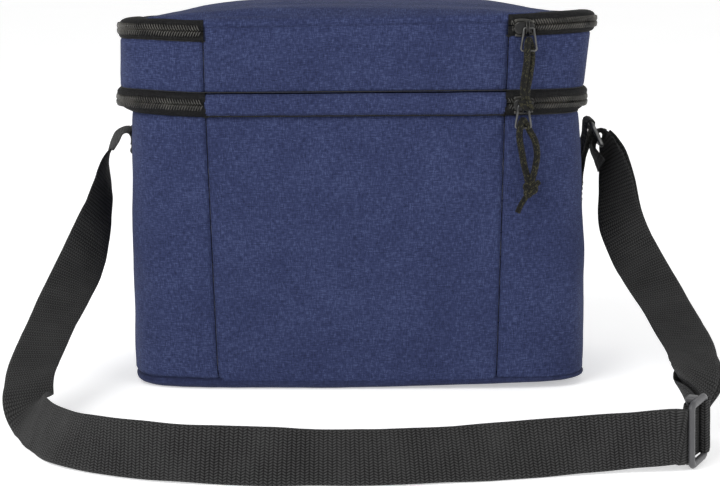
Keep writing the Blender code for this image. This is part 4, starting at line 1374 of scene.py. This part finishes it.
def make_right_loop():
    """Strap end folded over the lower bar of the right ring, a little twisted."""
    fold = catmull([(173.6, 149.5), (171.6, 156.5), (169.8, 161.0), (167.6, 163.8),
                    (165.2, 163.4), (163.0, 160.2), (161.7, 156.0), (162.2, 151.0),
                    (164.6, 146.0), (167.8, 140.5)], 5)
    along = np.linspace(0, 1, len(fold))
    twist = np.interp(along, (0, 0.2, 0.4, 0.75, 1), (0.40, 0.22, 0.05, 0.0, 0.25))
    y = np.interp(along, (0, 0.4, 0.8, 1), (-4.5, -0.5, 0, -4.0))
    path = np.c_[fold[:, 0], y, fold[:, 1]]
    across = np.c_[-twist, np.ones(len(fold)), np.zeros(len(fold))]
    obj = ribbon("strap_loop_right", path, square_to(across, tangents(path)), 31.6, 1.3, cols=15,
                 relief=lambda u, s: waves(u * 16, s, height=0.2, size=22, seed=431))
    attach(obj, "lower_body")
    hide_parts("strap_end_loop_right")


def stitch_row(name, path, normal):
    """A row of sewing stitches along a path, on cloth that faces along normal."""
    length, gap, radius, lift = 2.6, 1.0, 0.24, 0.15
    # (fraction of the stitch's length, fraction of its radius)
    profile = ((0.0, 0.15), (0.12, 0.8), (0.5, 1.0), (0.88, 0.8), (1.0, 0.15))
    rows, cols = len(profile), 5
    angle = (2 * math.pi * np.arange(cols) / cols)[:, None]
    run = run_length(path)
    points, faces, uv = [], [], []
    start = 0.6
    while start + length < run[-1]:
        faces += tube_faces(rows, cols, len(points))
        for fraction, swell in profile:
            at = start + fraction * length
            along = unit(sample(min(at + 0.3, run[-1]), run, path)
                         - sample(max(at - 0.3, 0), run, path))
            out = unit(normal - along * normal.dot(along))
            side = np.cross(along, out)
            centre = sample(at, run, path) + out * (lift + 0.12 * math.sin(fraction * math.pi))
            points += list(centre + (out * np.sin(angle) * 0.8 + side * np.cos(angle))
                           * radius * swell)
        stitch_uv = uv_grid(np.arange(cols + 1) * 0.3, start + np.arange(rows))
        uv.append(tube_uv(stitch_uv, rows, cols))
        start += length + gap
    return make(name, points, faces, THREAD, np.vstack(uv))


def make_anchor_stitching(tag, side, wall):
    """Sewn box and cross on the outer face of the anchor."""
    corners = ((-11, 115.0), (11, 115.0), (11, 131.0), (-11, 131.0))   # (y, z)
    lines = ((0, 1), (1, 2), (2, 3), (3, 0), (0, 2), (3, 1))
    rows = []
    for k, (a, b) in enumerate(lines):
        y, z = np.linspace(corners[a], corners[b], 40).T
        x = side * (wall + 3.95) + side * np.interp(z, (113, 124, 136), (0.0, 0.0, 1.0))
        rows.append(stitch_row(f"tab_stitch_{tag}_{k}", np.stack([x, y, z], 1),
                               np.array((side, 0.0, 0.0))))
    obj = join("anchor_stitching_" + tag, rows)
    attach(obj, "lower_body")


# Side sign, wall distance, flare, and the (x, z) of the ring's top bar and of its lower end.
for tag, side, wall, flare, ring_top, ring_bottom in (
        ("left", -1, 150.9, 0.0, (-154.6, 168.5), (-155.8, 152.5)),
        ("right", 1, 149.9, 2.0, (159.0, 171.0), (166.3, 156.4))):
    make_anchor(tag, side, wall, flare, ring_top)
    make_ring(tag, ring_top, ring_bottom)
    if side > 0:
        make_right_loop()
    else:
        folded_strip("strap_loop_left", arc(*ring_bottom, 2.3, 0, 325, 24), 32.0, 1.0,
                     "strap_end_loop_left", wobble=0.15, seed=20)
    make_anchor_stitching(tag, side, wall)


# ================================================================== shoulder strap
# Stations of the strap: (point, direction of its width).
STRAP_LEFT = (
    ((-157.6, 0, 156.6), (0.0, 1, 0.0)), ((-157.3, 0, 161.4), (0.0, 1, 0.0)),
    ((-159.6, 0, 165.2), (0.0, 1, 0.03)), ((-164.5, 0, 164.9), (-0.06, 1, 0.08)),
    ((-169.6, 0, 159.6), (-0.18, 0.97, 0.14)), ((-174.4, 0, 149.5), (-0.14, 1, -0.06)),
    ((-177, -10, 131), (0.26, 0.96, -0.3)), ((-181, -25, 106), (0.51, 0.8, -0.35)),
    ((-188, -50, 81), (0.78, 0.5, -0.25)), ((-197, -95, 58), (0.95, 0.2, 0.0)),
    ((-204, -140, 38), (1.0, 0.0, 0.05)), ((-205, -176, 26), (0.86, 0.35, 0.3)),
    ((-201, -199, 14), (0.35, 0.72, 0.6)), ((-190, -235, 13), (0.2, 0.55, 0.8)),
    ((-164, -278, 15.5), (0.42, 0.1, 0.9)), ((-120, -307, 17), (0.15, 0.05, 0.98)),
    ((-67, -313, 15.5), (0.0, 0.35, 0.93)),
)
STRAP_FRONT = (
    ((0, -313, 14.5), (0.0, 0.5, 0.87)), ((66, -303, 14.5), (0.0, 0.5, 0.87)),
    ((130, -291, 16.5), (0.0, 0.3, 0.95)), ((163, -290, 19), (0.0, 0.1, 1.0)),
    ((178, -290, 20.3), (0.0, 0.0, 1.0)),
)
STRAP_RIGHT = (
    ((196.6, -250.0, 22.6), (-0.04, 0.0, 1.0)), ((196.4, -238, 24.6), (-0.18, 0.0, 0.98)),
    ((197.8, -222, 27.6), (-0.54, 0.0, 0.84)), ((200.4, -205, 31.8), (-0.75, 0.0, 0.66)),
    ((204.6, -187, 38.2), (-0.96, 0.05, 0.25)), ((206.4, -145, 46.4), (-1.0, 0.05, 0.0)),
    ((199.0, -95, 62.5), (-1.0, 0.1, -0.05)), ((187, -50, 84), (-0.9, 0.35, -0.2)),
    ((178.5, -27, 106), (-0.83, 0.5, -0.25)), ((176.6, -13, 129), (-0.64, 0.74, -0.22)),
    ((174.0, -6, 146), (-0.42, 0.9, -0.12)), ((171.2, -2.5, 155.5), (-0.24, 0.97, -0.05)),
    ((169.2, -0.8, 160.0), (-0.14, 0.99, 0.0)),
)
# The strap runs through the adjuster along ADJUSTER_ALONG, its width along ADJUSTER_UP.
ADJUSTER_AT = np.array((192.2, -272.0, 20.8))
ADJUSTER_ALONG = unit(np.array((0.47, 0.878, 0.07)))
ADJUSTER_UP = unit(np.array((0.0, 0.0, 1.0)) - ADJUSTER_ALONG * ADJUSTER_ALONG[2])


def make_strap():
    """The strap from ring to ring, and its second layer from the adjuster to the right ring."""
    through = [(ADJUSTER_AT + ADJUSTER_ALONG * s, ADJUSTER_UP) for s in (-19, -9, 0, 9)]
    stations = [*STRAP_LEFT, *STRAP_FRONT, *through, *STRAP_RIGHT]
    steps = 14
    curve = catmull([point for point, _ in stations], steps, clamped=True)
    widths = catmull([unit(np.array(width, float)) for _, width in stations], steps, clamped=True)
    curve_run = run_length(curve)
    run = np.linspace(0, curve_run[-1], int(curve_run[-1] / 2.0))
    path = sample(run, curve_run, curve)
    along = tangents(path)
    across = square_to(sample(run, curve_run, widths), along)
    normal = np.cross(along, across)
    # The ripple fades at both ends and at the adjuster.
    amount = smooth_step((run - 20) / 40) * smooth_step((run[-1] - run - 20) / 40)
    amount = amount * smooth_step((np.linalg.norm(path - ADJUSTER_AT, axis=1) - 26) / 20)

    def faded(s):
        return np.interp(s[:, 0], run, amount)[:, None]

    strap = ribbon(
        "shoulder_strap", path, across, 32.0, 1.3, cols=17, normal=normal,
        relief=lambda u, s: faded(s) * (waves(u * 16, s, height=0.42, size=48, seed=401)
                                        + waves(u * 16, s, height=0.16, size=15, seed=402)),
        edge=lambda u, s: faded(s) * waves(s, 0 * u, height=0.35, size=40, seed=403))
    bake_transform(strap)
    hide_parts("strap_webbing")

    # The return begins shortly after the third of the adjuster's four stations.
    start = curve_run[steps * (len(STRAP_LEFT) + len(STRAP_FRONT) + 3) + 4]
    kept = run >= start
    back_run = run[kept] - start
    across, normal = across[kept], normal[kept]
    gap = (3.4 - 0.6 * np.sin(np.clip(back_run / back_run[-1], 0, 1) * math.pi)
           + waves(back_run, 0 * back_run, height=0.25, size=60, seed=411))
    shift = 4.4 * np.exp(-((back_run - 72) / 30) ** 2)
    back = path[kept] - normal * gap[:, None] - across * shift[:, None]
    back_amount = smooth_step(back_run / 30) * smooth_step((back_run[-1] - back_run) / 30)
    layer = ribbon(
        "shoulder_strap_return", back, across, 31.4, 1.25, cols=17, normal=normal, uv_start=0.7,
        relief=lambda u, s: (np.interp(s[:, 0], back_run, back_amount)[:, None]
                             * waves(u * 15, s, height=0.3, size=44, seed=421)),
        edge=lambda u, s: waves(s, 0 * u, height=0.3, size=36, seed=423))
    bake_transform(layer)
    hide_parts("strap_return_webbing")


make_strap()


def make_adjuster():
    """Moulded three-bar slide, and the webbing folded round its bars.
    Its own axes run along the strap, across its thickness and along its width."""
    thickness_axis = np.cross(ADJUSTER_ALONG, ADJUSTER_UP)
    at = ADJUSTER_AT - ADJUSTER_ALONG * 4.6
    half_length, half_width, corner = 11.1, 17.6, 2.9
    near, far = half_length - corner, half_width - corner
    loop = corner_arcs(((-near, far, 180), (near, far, 90), (near, -far, 0), (-near, -far, -90)),
                       corner, step=-15)
    loop = np.c_[loop[:, 0], np.full(len(loop), 2.75), loop[:, 1]]
    ring = sweep("adjuster_part", resample(loop, 120, True), 2.0, PLASTIC,
                 sides=16, closed=True, squash=(0.95, 1.12))
    bm = bmesh.new()
    bm.from_mesh(ring.data)
    bmesh.ops.scale(bm, vec=(1000, 1000, 1000), verts=bm.verts)
    bpy.data.objects.remove(ring, do_unlink=True)
    # Two posts and the raised middle bar: (size, middle, bevel).
    for size, middle, bevel in (((7.0, 6.2, 3.4), (0, -0.9, 18.6), 1.0),
                                ((7.0, 6.2, 3.4), (0, -0.9, -18.6), 1.0),
                                ((4.4, 1.7, 37.0), (0, -3.0, 0), 0.75)):
        made = bmesh.ops.create_cube(bm, size=1.0)["verts"]
        bmesh.ops.scale(bm, vec=size, verts=made)
        bmesh.ops.translate(bm, vec=middle, verts=made)
        edges = list({edge for vertex in made for edge in vertex.link_edges})
        bmesh.ops.bevel(bm, geom=edges, offset=bevel, segments=4, profile=0.5, affect="EDGES")
    axes = zip(ADJUSTER_ALONG, thickness_axis, ADJUSTER_UP, at)
    bm.transform(Matrix([*axes, (0, 0, 0, 1)]))
    for vertex in bm.verts:
        vertex.co *= MM
    mesh = bpy.data.meshes.new("strap_slide")
    bm.to_mesh(mesh)
    bm.free()
    mesh.polygons.foreach_set("use_smooth", [True] * len(mesh.polygons))
    mesh.materials.append(PLASTIC)
    obj = add_object("strap_slide", mesh)
    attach(obj, "adjuster")
    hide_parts("strap_adjuster")

    # Folds as (along the strap, across its thickness).
    def fold(name, outline, height, seed):
        curve = catmull(outline, 4)
        path = at + curve[:, :1] * ADJUSTER_ALONG + curve[:, 1:] * thickness_axis
        return ribbon(name, path, ADJUSTER_UP, 31.0, 1.1,
                      relief=lambda u, s: waves(u * 15, s, height=height, size=14, seed=seed))

    middle_fold = fold("strap_fold", [
        (15.0, -6.6), (5.0, -5.6), (-1.0, -5.2), (-3.2, -4.4), (-3.6, -3.0), (-2.8, -1.9),
        (-1.5, -1.6), (1.5, -1.6), (3.4, -2.0), (7.0, -3.6), (13.0, -4.8)], 0.08, 431)
    end_fold = fold("strap_over", [
        (7.9, 1.3), (7.7, 2.6), (8.2, 4.3), (9.4, 5.1), (11.1, 5.4), (12.8, 5.1), (14.0, 4.3),
        (14.5, 2.8), (14.4, 1.2), (14.0, -1.0)], 0.06, 433)
    # Blender numbers this name, because the first fold still holds it.
    folds = join("strap_fold", [middle_fold, end_fold])
    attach(folds, "adjuster")
    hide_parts("strap_return_loop")


make_adjuster()


# ======================================================= base, linings and bindings
def ring_rows(profile, exponent, count, ripple=0.0, seed=0):
    """Closed rows round the bag and the distance along them. profile is (z, plan) pairs."""
    rows = []
    for z, plan in profile:
        xy = resample(plan_outline(plan, exponent), count, True)
        rows.append(np.c_[xy, np.full(count, z)])
    points = np.array(rows)
    run = run_length(points[0])[None]
    if ripple:
        down = np.arange(len(rows))[:, None] * 3.0
        rise = (waves(run, down, height=ripple, size=46, seed=seed)
                + waves(run, down, height=ripple * 0.5, size=17, seed=seed + 1))
        rise = rise * smooth_step(np.minimum(run, run[0, -1] - run) / 20)
        points = points - normals(points, True) * rise[..., None]
    return points, run


def closed_shell(name, wall, material, body, nodes, thick, steps, relief, lean=True,
                 offset=-1.0):
    """Wall rows, then rings shrinking to the middle of the last row to fill it.
    relief(x, y) raises the filled part."""
    rim = wall[-1]
    middle = rim.mean(0)
    scales = np.linspace(0.955, 0.035, steps)
    inner = middle + (rim[None] - middle) * scales[:, None, None]
    fade = smooth_step((1 - scales) / 0.15)[:, None]
    inner[..., 2] += relief(inner[..., 0], inner[..., 1]) * fade
    points = np.concatenate([wall, inner], 0)
    if lean:
        points = settle(points)
    cols = points.shape[1]
    uv = cloth_uv(points, True)
    uv[len(wall):, :cols] = inner[..., :2]
    uv[len(wall):, cols] = uv[len(wall):, 0]
    obj = capped_rings(name, points, uv, material)
    recalculate_normals(obj)
    add_thickness(obj, thick, offset)
    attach(obj, body)
    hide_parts(*nodes)


def make_base():
    """Cloth base, raised a little along the front towards the right."""
    plan = (*LOWER.plan(6)[:2], 0.0)
    # (z, inset at the ends, inset at the front and back)
    levels = ((8.6, 3.4, 3.4), (7.2, 2.8, 2.8), (6.1, 1.9, 1.9), (5.2, 0.8, 0.8),
              (4.2, 0.3, 0.3), (3.1, 0.5, 0.5), (1.9, 1.7, 1.7), (1.0, 3.5, 3.5),
              (0.5, 6.2, 6.0), (0.35, 10.0, 9.0))
    points, _ = ring_rows([(z, inset(plan, ends, front)) for z, ends, front in levels],
                          LOWER.exponent, 380, ripple=0.12, seed=501)
    points[..., 2] = np.maximum(points[..., 2], 0.3)
    x, y, z = points[..., 0], points[..., 1], points[..., 2]
    points[..., 2] = z + (3.4 * smooth_step((x + 30) / 170) * smooth_step((-y - 20) / 50)
                          * smooth_step((10 - z) / 9))
    closed_shell("base_cover", points, NAVY_DARK, "lower_body",
                 ("base_panel", "base_board", "base_foam"), thick=0.8, steps=14,
                 relief=lambda x, y: waves(x, y, height=0.1, size=70, seed=503) ** 2 + 0.02,
                 lean=False, offset=1.0)


make_base()


def crush(u, v, seed, height=0.9):
    """Soft creases of a foil film: ridged ripples in two sizes."""
    large = waves(u, v, height=1.0, size=34, seed=seed)
    small = waves(u, v, height=1.0, size=15, seed=seed + 1)
    return height * (0.75 - np.abs(large)) + height * 0.4 * (0.6 - np.abs(small))


def make_lining(name, rim, floor, casing, wall, body, node, seed):
    """Foil tub; wall is how far it lies inside the casing."""
    heights = [rim, rim - 0.8, rim - 2, rim - 5]
    heights += list(np.linspace(rim - 9, floor + 9, int((rim - floor) / 5)))
    profile = [(z, inset(casing.plan(z), wall)) for z in heights]
    floor_plan = casing.plan(floor + 4)
    # The foot turns in to the floor: (rise above the floor, extra inset).
    for rise, extra in ((6.5, 0.1), (4.2, 0.6), (2.4, 1.6), (1.0, 3.4), (0.2, 6.0), (0.0, 9.0)):
        profile.append((floor + rise, inset(floor_plan, wall + extra)))
    points, run = ring_rows(profile, casing.exponent - 0.6, 330)
    z = points[..., 2]
    fade = smooth_step((rim - z) / 9) * smooth_step((z - floor + 2) / 8)
    fade = fade * smooth_step(np.minimum(run, run[0, -1] - run) / 14)
    rise = np.minimum((crush(run + 0 * z, z, seed) - 0.9) * fade, 0.1)
    points = points - normals(points, True) * rise[..., None]
    closed_shell(name, points, FOIL, body, (node,), thick=0.35, steps=26,
                 relief=lambda x, y: np.abs(crush(x, y, seed + 7, 0.7)) * 0.8)


make_lining("lower_lining", 178.6, 9.4, LOWER, 8.4, "lower_body", "lower_liner", 521)
make_lining("upper_lining", 230.4, 204.2, UPPER, 8.6, "upper_compartment", "upper_liner", 541)


def bound_ring(name, points, thick, body, *nodes):
    """Closed black strip from rows of points."""
    obj = sheet(name, settle(points), BINDING, thick, closed=True)
    recalculate_normals(obj)
    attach(obj, body)
    if nodes:
        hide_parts(*nodes)


def make_rim(name, z, casing, outer, inner, height, body, node, seed):
    """Binding folded over the top edge of the wall, between insets outer and inner."""
    plan = casing.plan(z)
    levels = (  # (height above z, inset)
        (-2.4, outer), (-1.2, outer - 0.1), (-0.3, outer + 0.2), (height * 0.5, outer + 0.9),
        (height * 0.85, outer + 2.0), (height, (outer + inner) / 2), (height * 0.8, inner - 2.0),
        (height * 0.35, inner - 0.8), (-0.6, inner - 0.1), (-2.2, inner + 0.2),
        (-5.0, inner + 0.2))
    points, run = ring_rows([(z + dz, inset(plan, inward)) for dz, inward in levels],
                            casing.exponent, 380, ripple=0.16, seed=seed)
    points[..., 2] += waves(run, 0 * run, height=0.18, size=30, seed=seed + 2)
    bound_ring(name, points, 0.6, body, node)


make_rim("lower_edge_binding", 179.4, LOWER, 2.0, 9.0, 1.3, "lower_body",
         "lower_rim_binding", 561)
make_rim("upper_edge_binding", 230.6, UPPER, 2.4, 9.2, 1.1, "upper_compartment",
         "upper_rim_binding", 571)


def make_divider():
    """Padded floor of the upper compartment, seen from below when it is swung up."""
    plan = UPPER.plan(198)
    levels = ((203.6, 9.5), (203.4, 4.8), (202.0, 3.4), (200.4, 2.9), (199.2, 3.1),
              (198.4, 4.0), (197.9, 5.6), (197.6, 8.5))   # (z, inset)
    points, _ = ring_rows([(z, inset(plan, inward)) for z, inward in levels], UPPER.exponent,
                          360, ripple=0.08, seed=581)
    closed_shell("divider_pad", points, NAVY_DARK, "upper_compartment",
                 ("divider_cover", "divider_foam"), thick=0.6, steps=22,
                 relief=lambda x, y: waves(x, y, height=0.25, size=60, seed=583))


make_divider()


def make_seam_ring(name, z, casing, reach, front, body, slope=0.0):
    """Seam allowance of the zip tape: a flat ring between the binding and the tape.
    reach is how far it stands out, front the same behind the hinge strip."""
    plan, inner = casing.plan(z), 4.4
    levels = ((slope, inner), (slope * 0.55, inner * 0.6), (slope * 0.15, inner * 0.25), (0, 0))
    points, _ = ring_rows([(z - drop, inset(plan, inward)) for drop, inward in levels],
                          casing.exponent, 380)
    outer = points[-1]
    middle = smooth_step((104 - np.abs(outer[:, 0])) / 4) * (outer[:, 1] < 0)
    out = reach * (1 - middle) + front * middle
    share = np.array((0.0, 0.2, 0.6, 1.0))[:, None]
    level = np.array((1.0, 1.0, 0.0))
    points = points - normals(points, True) * (out[None] * share)[..., None] * level
    bound_ring(name, points, 0.5, body)


make_seam_ring("lower_zip_seam_allowance", 183.1, LOWER, 0.6, -0.5, "lower_body", slope=2.4)
make_seam_ring("upper_compartment_seam_allowance", 198.9, UPPER, 1.2, -1.0, "upper_compartment")
make_seam_ring("upper_zip_seam_allowance", 233.7, UPPER, 0.2, -1.2, "upper_compartment",
               slope=2.2)


def lid_lining_relief(x, y):
    """Dome of the lid's lining with its creases."""
    dome = 3.4 * (1 - (np.abs(x) / 156) ** 2) * (1 - (np.abs(y) / 86) ** 2)
    return 0.1 + dome + np.minimum(crush(x, y, 593, 0.7), 0.4) * 0.8


def make_lid_lining():
    """Foil pad under the lid with a bound edge."""
    plan = (150.0, 80.5, LID_SHIFT)
    exponent = ZIP_EXPONENT - 0.5
    # (z, inset)
    lining = ((246.2, 0.0), (245.2, -0.5), (244.2, -0.2), (243.5, 1.2), (243.2, 3.0),
              (243.3, 5.0), (243.7, 8.0))
    binding = ((246.6, -0.8), (245.4, -1.5), (244.2, -1.3), (243.0, -0.4), (242.6, 1.2),
               (242.7, 3.2), (243.0, 5.4))
    points, _ = ring_rows([(z, inset(plan, inward)) for z, inward in lining], exponent, 360,
                          ripple=0.08, seed=591)
    closed_shell("lid_lining", points, FOIL, "lid", ("lid_liner",), thick=0.4,
                 steps=30, relief=lid_lining_relief)
    points, _ = ring_rows([(z, inset(plan, inward)) for z, inward in binding], exponent, 380,
                          ripple=0.1, seed=597)
    bound_ring("lid_edge_binding", points, 0.5, "lid")


make_lid_lining()


# ================================================================ CAD node finishes
SLOT_MATERIALS = {
    "foam": FOAM, "foil_liner": FOIL, "base_board": BOARD, "webbing": WEBBING,
    "dark_metal": METAL, "cord": CORD, "black_plastic": PLASTIC, "navy_fabric": NAVY,
    "zip_tape": TAPE, "zip_coil": COIL}
SLOT_NODES = {
    "base_board": ("base_board",),
    "foam": ("lower_wrap_foam", "lower_center_foam", "base_foam", "divider_foam",
             "upper_wrap_foam", "upper_center_foam", "lid_foam"),
    "foil_liner": ("lower_liner", "upper_liner", "lid_liner"),
    "navy_fabric": ("divider_cover",),
    "black_plastic": ("strap_adjuster",),
    "dark_metal": ("strap_ring_left", "strap_ring_right", "upper_slider", "lower_slider",
                   "upper_pull_wire", "lower_pull_wire"),
    "cord": ("upper_pull_cord", "lower_pull_cord"),
    "webbing": ("strap_webbing", "strap_return_webbing", "strap_return_loop",
                "strap_end_loop_left", "strap_end_loop_right", "strap_tab_left",
                "strap_tab_right"),
}


def finish_cad_nodes():
    """Every CAD node gets the material of its slot, navy cloth where none is known."""
    slots = {}
    for entry in frame["record"].get("materials", []):
        for node in entry.get("nodes", []):
            slots[node] = entry.get("slot") or entry.get("name")
    for slot, nodes in SLOT_NODES.items():
        slots.update(dict.fromkeys(nodes, slot))
    for name, obj in frame["nodes"].items():
        slot = slots.get(name)
        if "tape" in name or "binding" in name:
            slot = "zip_tape"
        elif "coil" in name:
            slot = "zip_coil"
        obj.data.materials.clear()
        obj.data.materials.append(SLOT_MATERIALS.get(slot, NAVY))


finish_cad_nodes()


# ========================================================= floor, light and camera
def make_floor():
    """White disc just below the bag, lit a little from within."""
    g = Shader("studio_floor")
    patches = g.noise(g.object_position(), scale=3.0, detail=3.0)
    colour = g.ramp(patches, [(0.3, (0.90, 0.90, 0.90)), (0.7, (0.92, 0.92, 0.92))])
    material = g.finish(Base_Color=colour, Roughness=0.9, Specular_IOR_Level=0.1,
                        Emission_Color=(1.0, 1.0, 1.0), Emission_Strength=0.43)
    bpy.ops.mesh.primitive_circle_add(vertices=96, radius=14.0, fill_type="NGON",
                                      location=(0, 0, -0.0004))
    floor = bpy.context.active_object
    floor.name = "studio_floor"
    floor.data.materials.append(material)


def make_world():
    """White surroundings, brighter near the horizon than overhead."""
    world = bpy.data.worlds.new("studio")
    bpy.context.scene.world = world
    world.use_nodes = True
    tree = world.node_tree
    background = tree.nodes["Background"]
    coordinates = tree.nodes.new("ShaderNodeTexCoord")
    split = tree.nodes.new("ShaderNodeSeparateXYZ")
    level = tree.nodes.new("ShaderNodeMapRange")
    level.interpolation_type = "SMOOTHSTEP"
    horizon, overhead = (0.12, 1.22), (0.75, 0.42)   # (height of the direction, strength)
    level.inputs[1].default_value, level.inputs[3].default_value = horizon
    level.inputs[2].default_value, level.inputs[4].default_value = overhead
    tree.links.new(coordinates.outputs["Generated"], split.inputs[0])
    tree.links.new(split.outputs[2], level.inputs[0])
    background.inputs[0].default_value = (1.0, 1.0, 1.0, 1.0)
    tree.links.new(level.outputs[0], background.inputs[1])


def area_light(name, at, target, size, power):
    """Round soft light, in metres and watts."""
    light = bpy.data.lights.new(name, "AREA")
    light.shape = "DISK"
    light.size = size
    light.energy = power
    obj = add_object(name, light)
    obj.location = at
    obj.rotation_euler = (Vector(target) - Vector(at)).to_track_quat("-Z", "Y").to_euler()


def make_camera():
    """Long lens in front of the bag, looking slightly down."""
    camera = bpy.data.cameras.new("camera")
    camera.sensor_width = 36.0
    camera.lens = 99.745
    camera.clip_start, camera.clip_end = 0.05, 60.0
    obj = add_object("camera", camera)
    obj.location = (0.0, -1.383, 0.300)
    obj.rotation_euler = (math.radians(90 - 8.809), 0, 0)
    bpy.context.scene.camera = obj
    view = bpy.context.scene.view_settings
    view.view_transform = "Standard"
    view.look = "None"
    view.exposure = 0.0
    view.gamma = 1.0


make_floor()
make_world()
area_light("key", at=(-1.3, -1.8, 1.9), target=(0, 0, 0.12), size=1.6, power=37.0)
area_light("fill", at=(1.6, -1.6, 1.0), target=(0, 0, 0.12), size=1.8, power=8.0)
area_light("top", at=(0.1, 0.5, 2.2), target=(0, 0, 0.1), size=2.0, power=1.5)
make_camera()

bpy.context.view_layer.update()
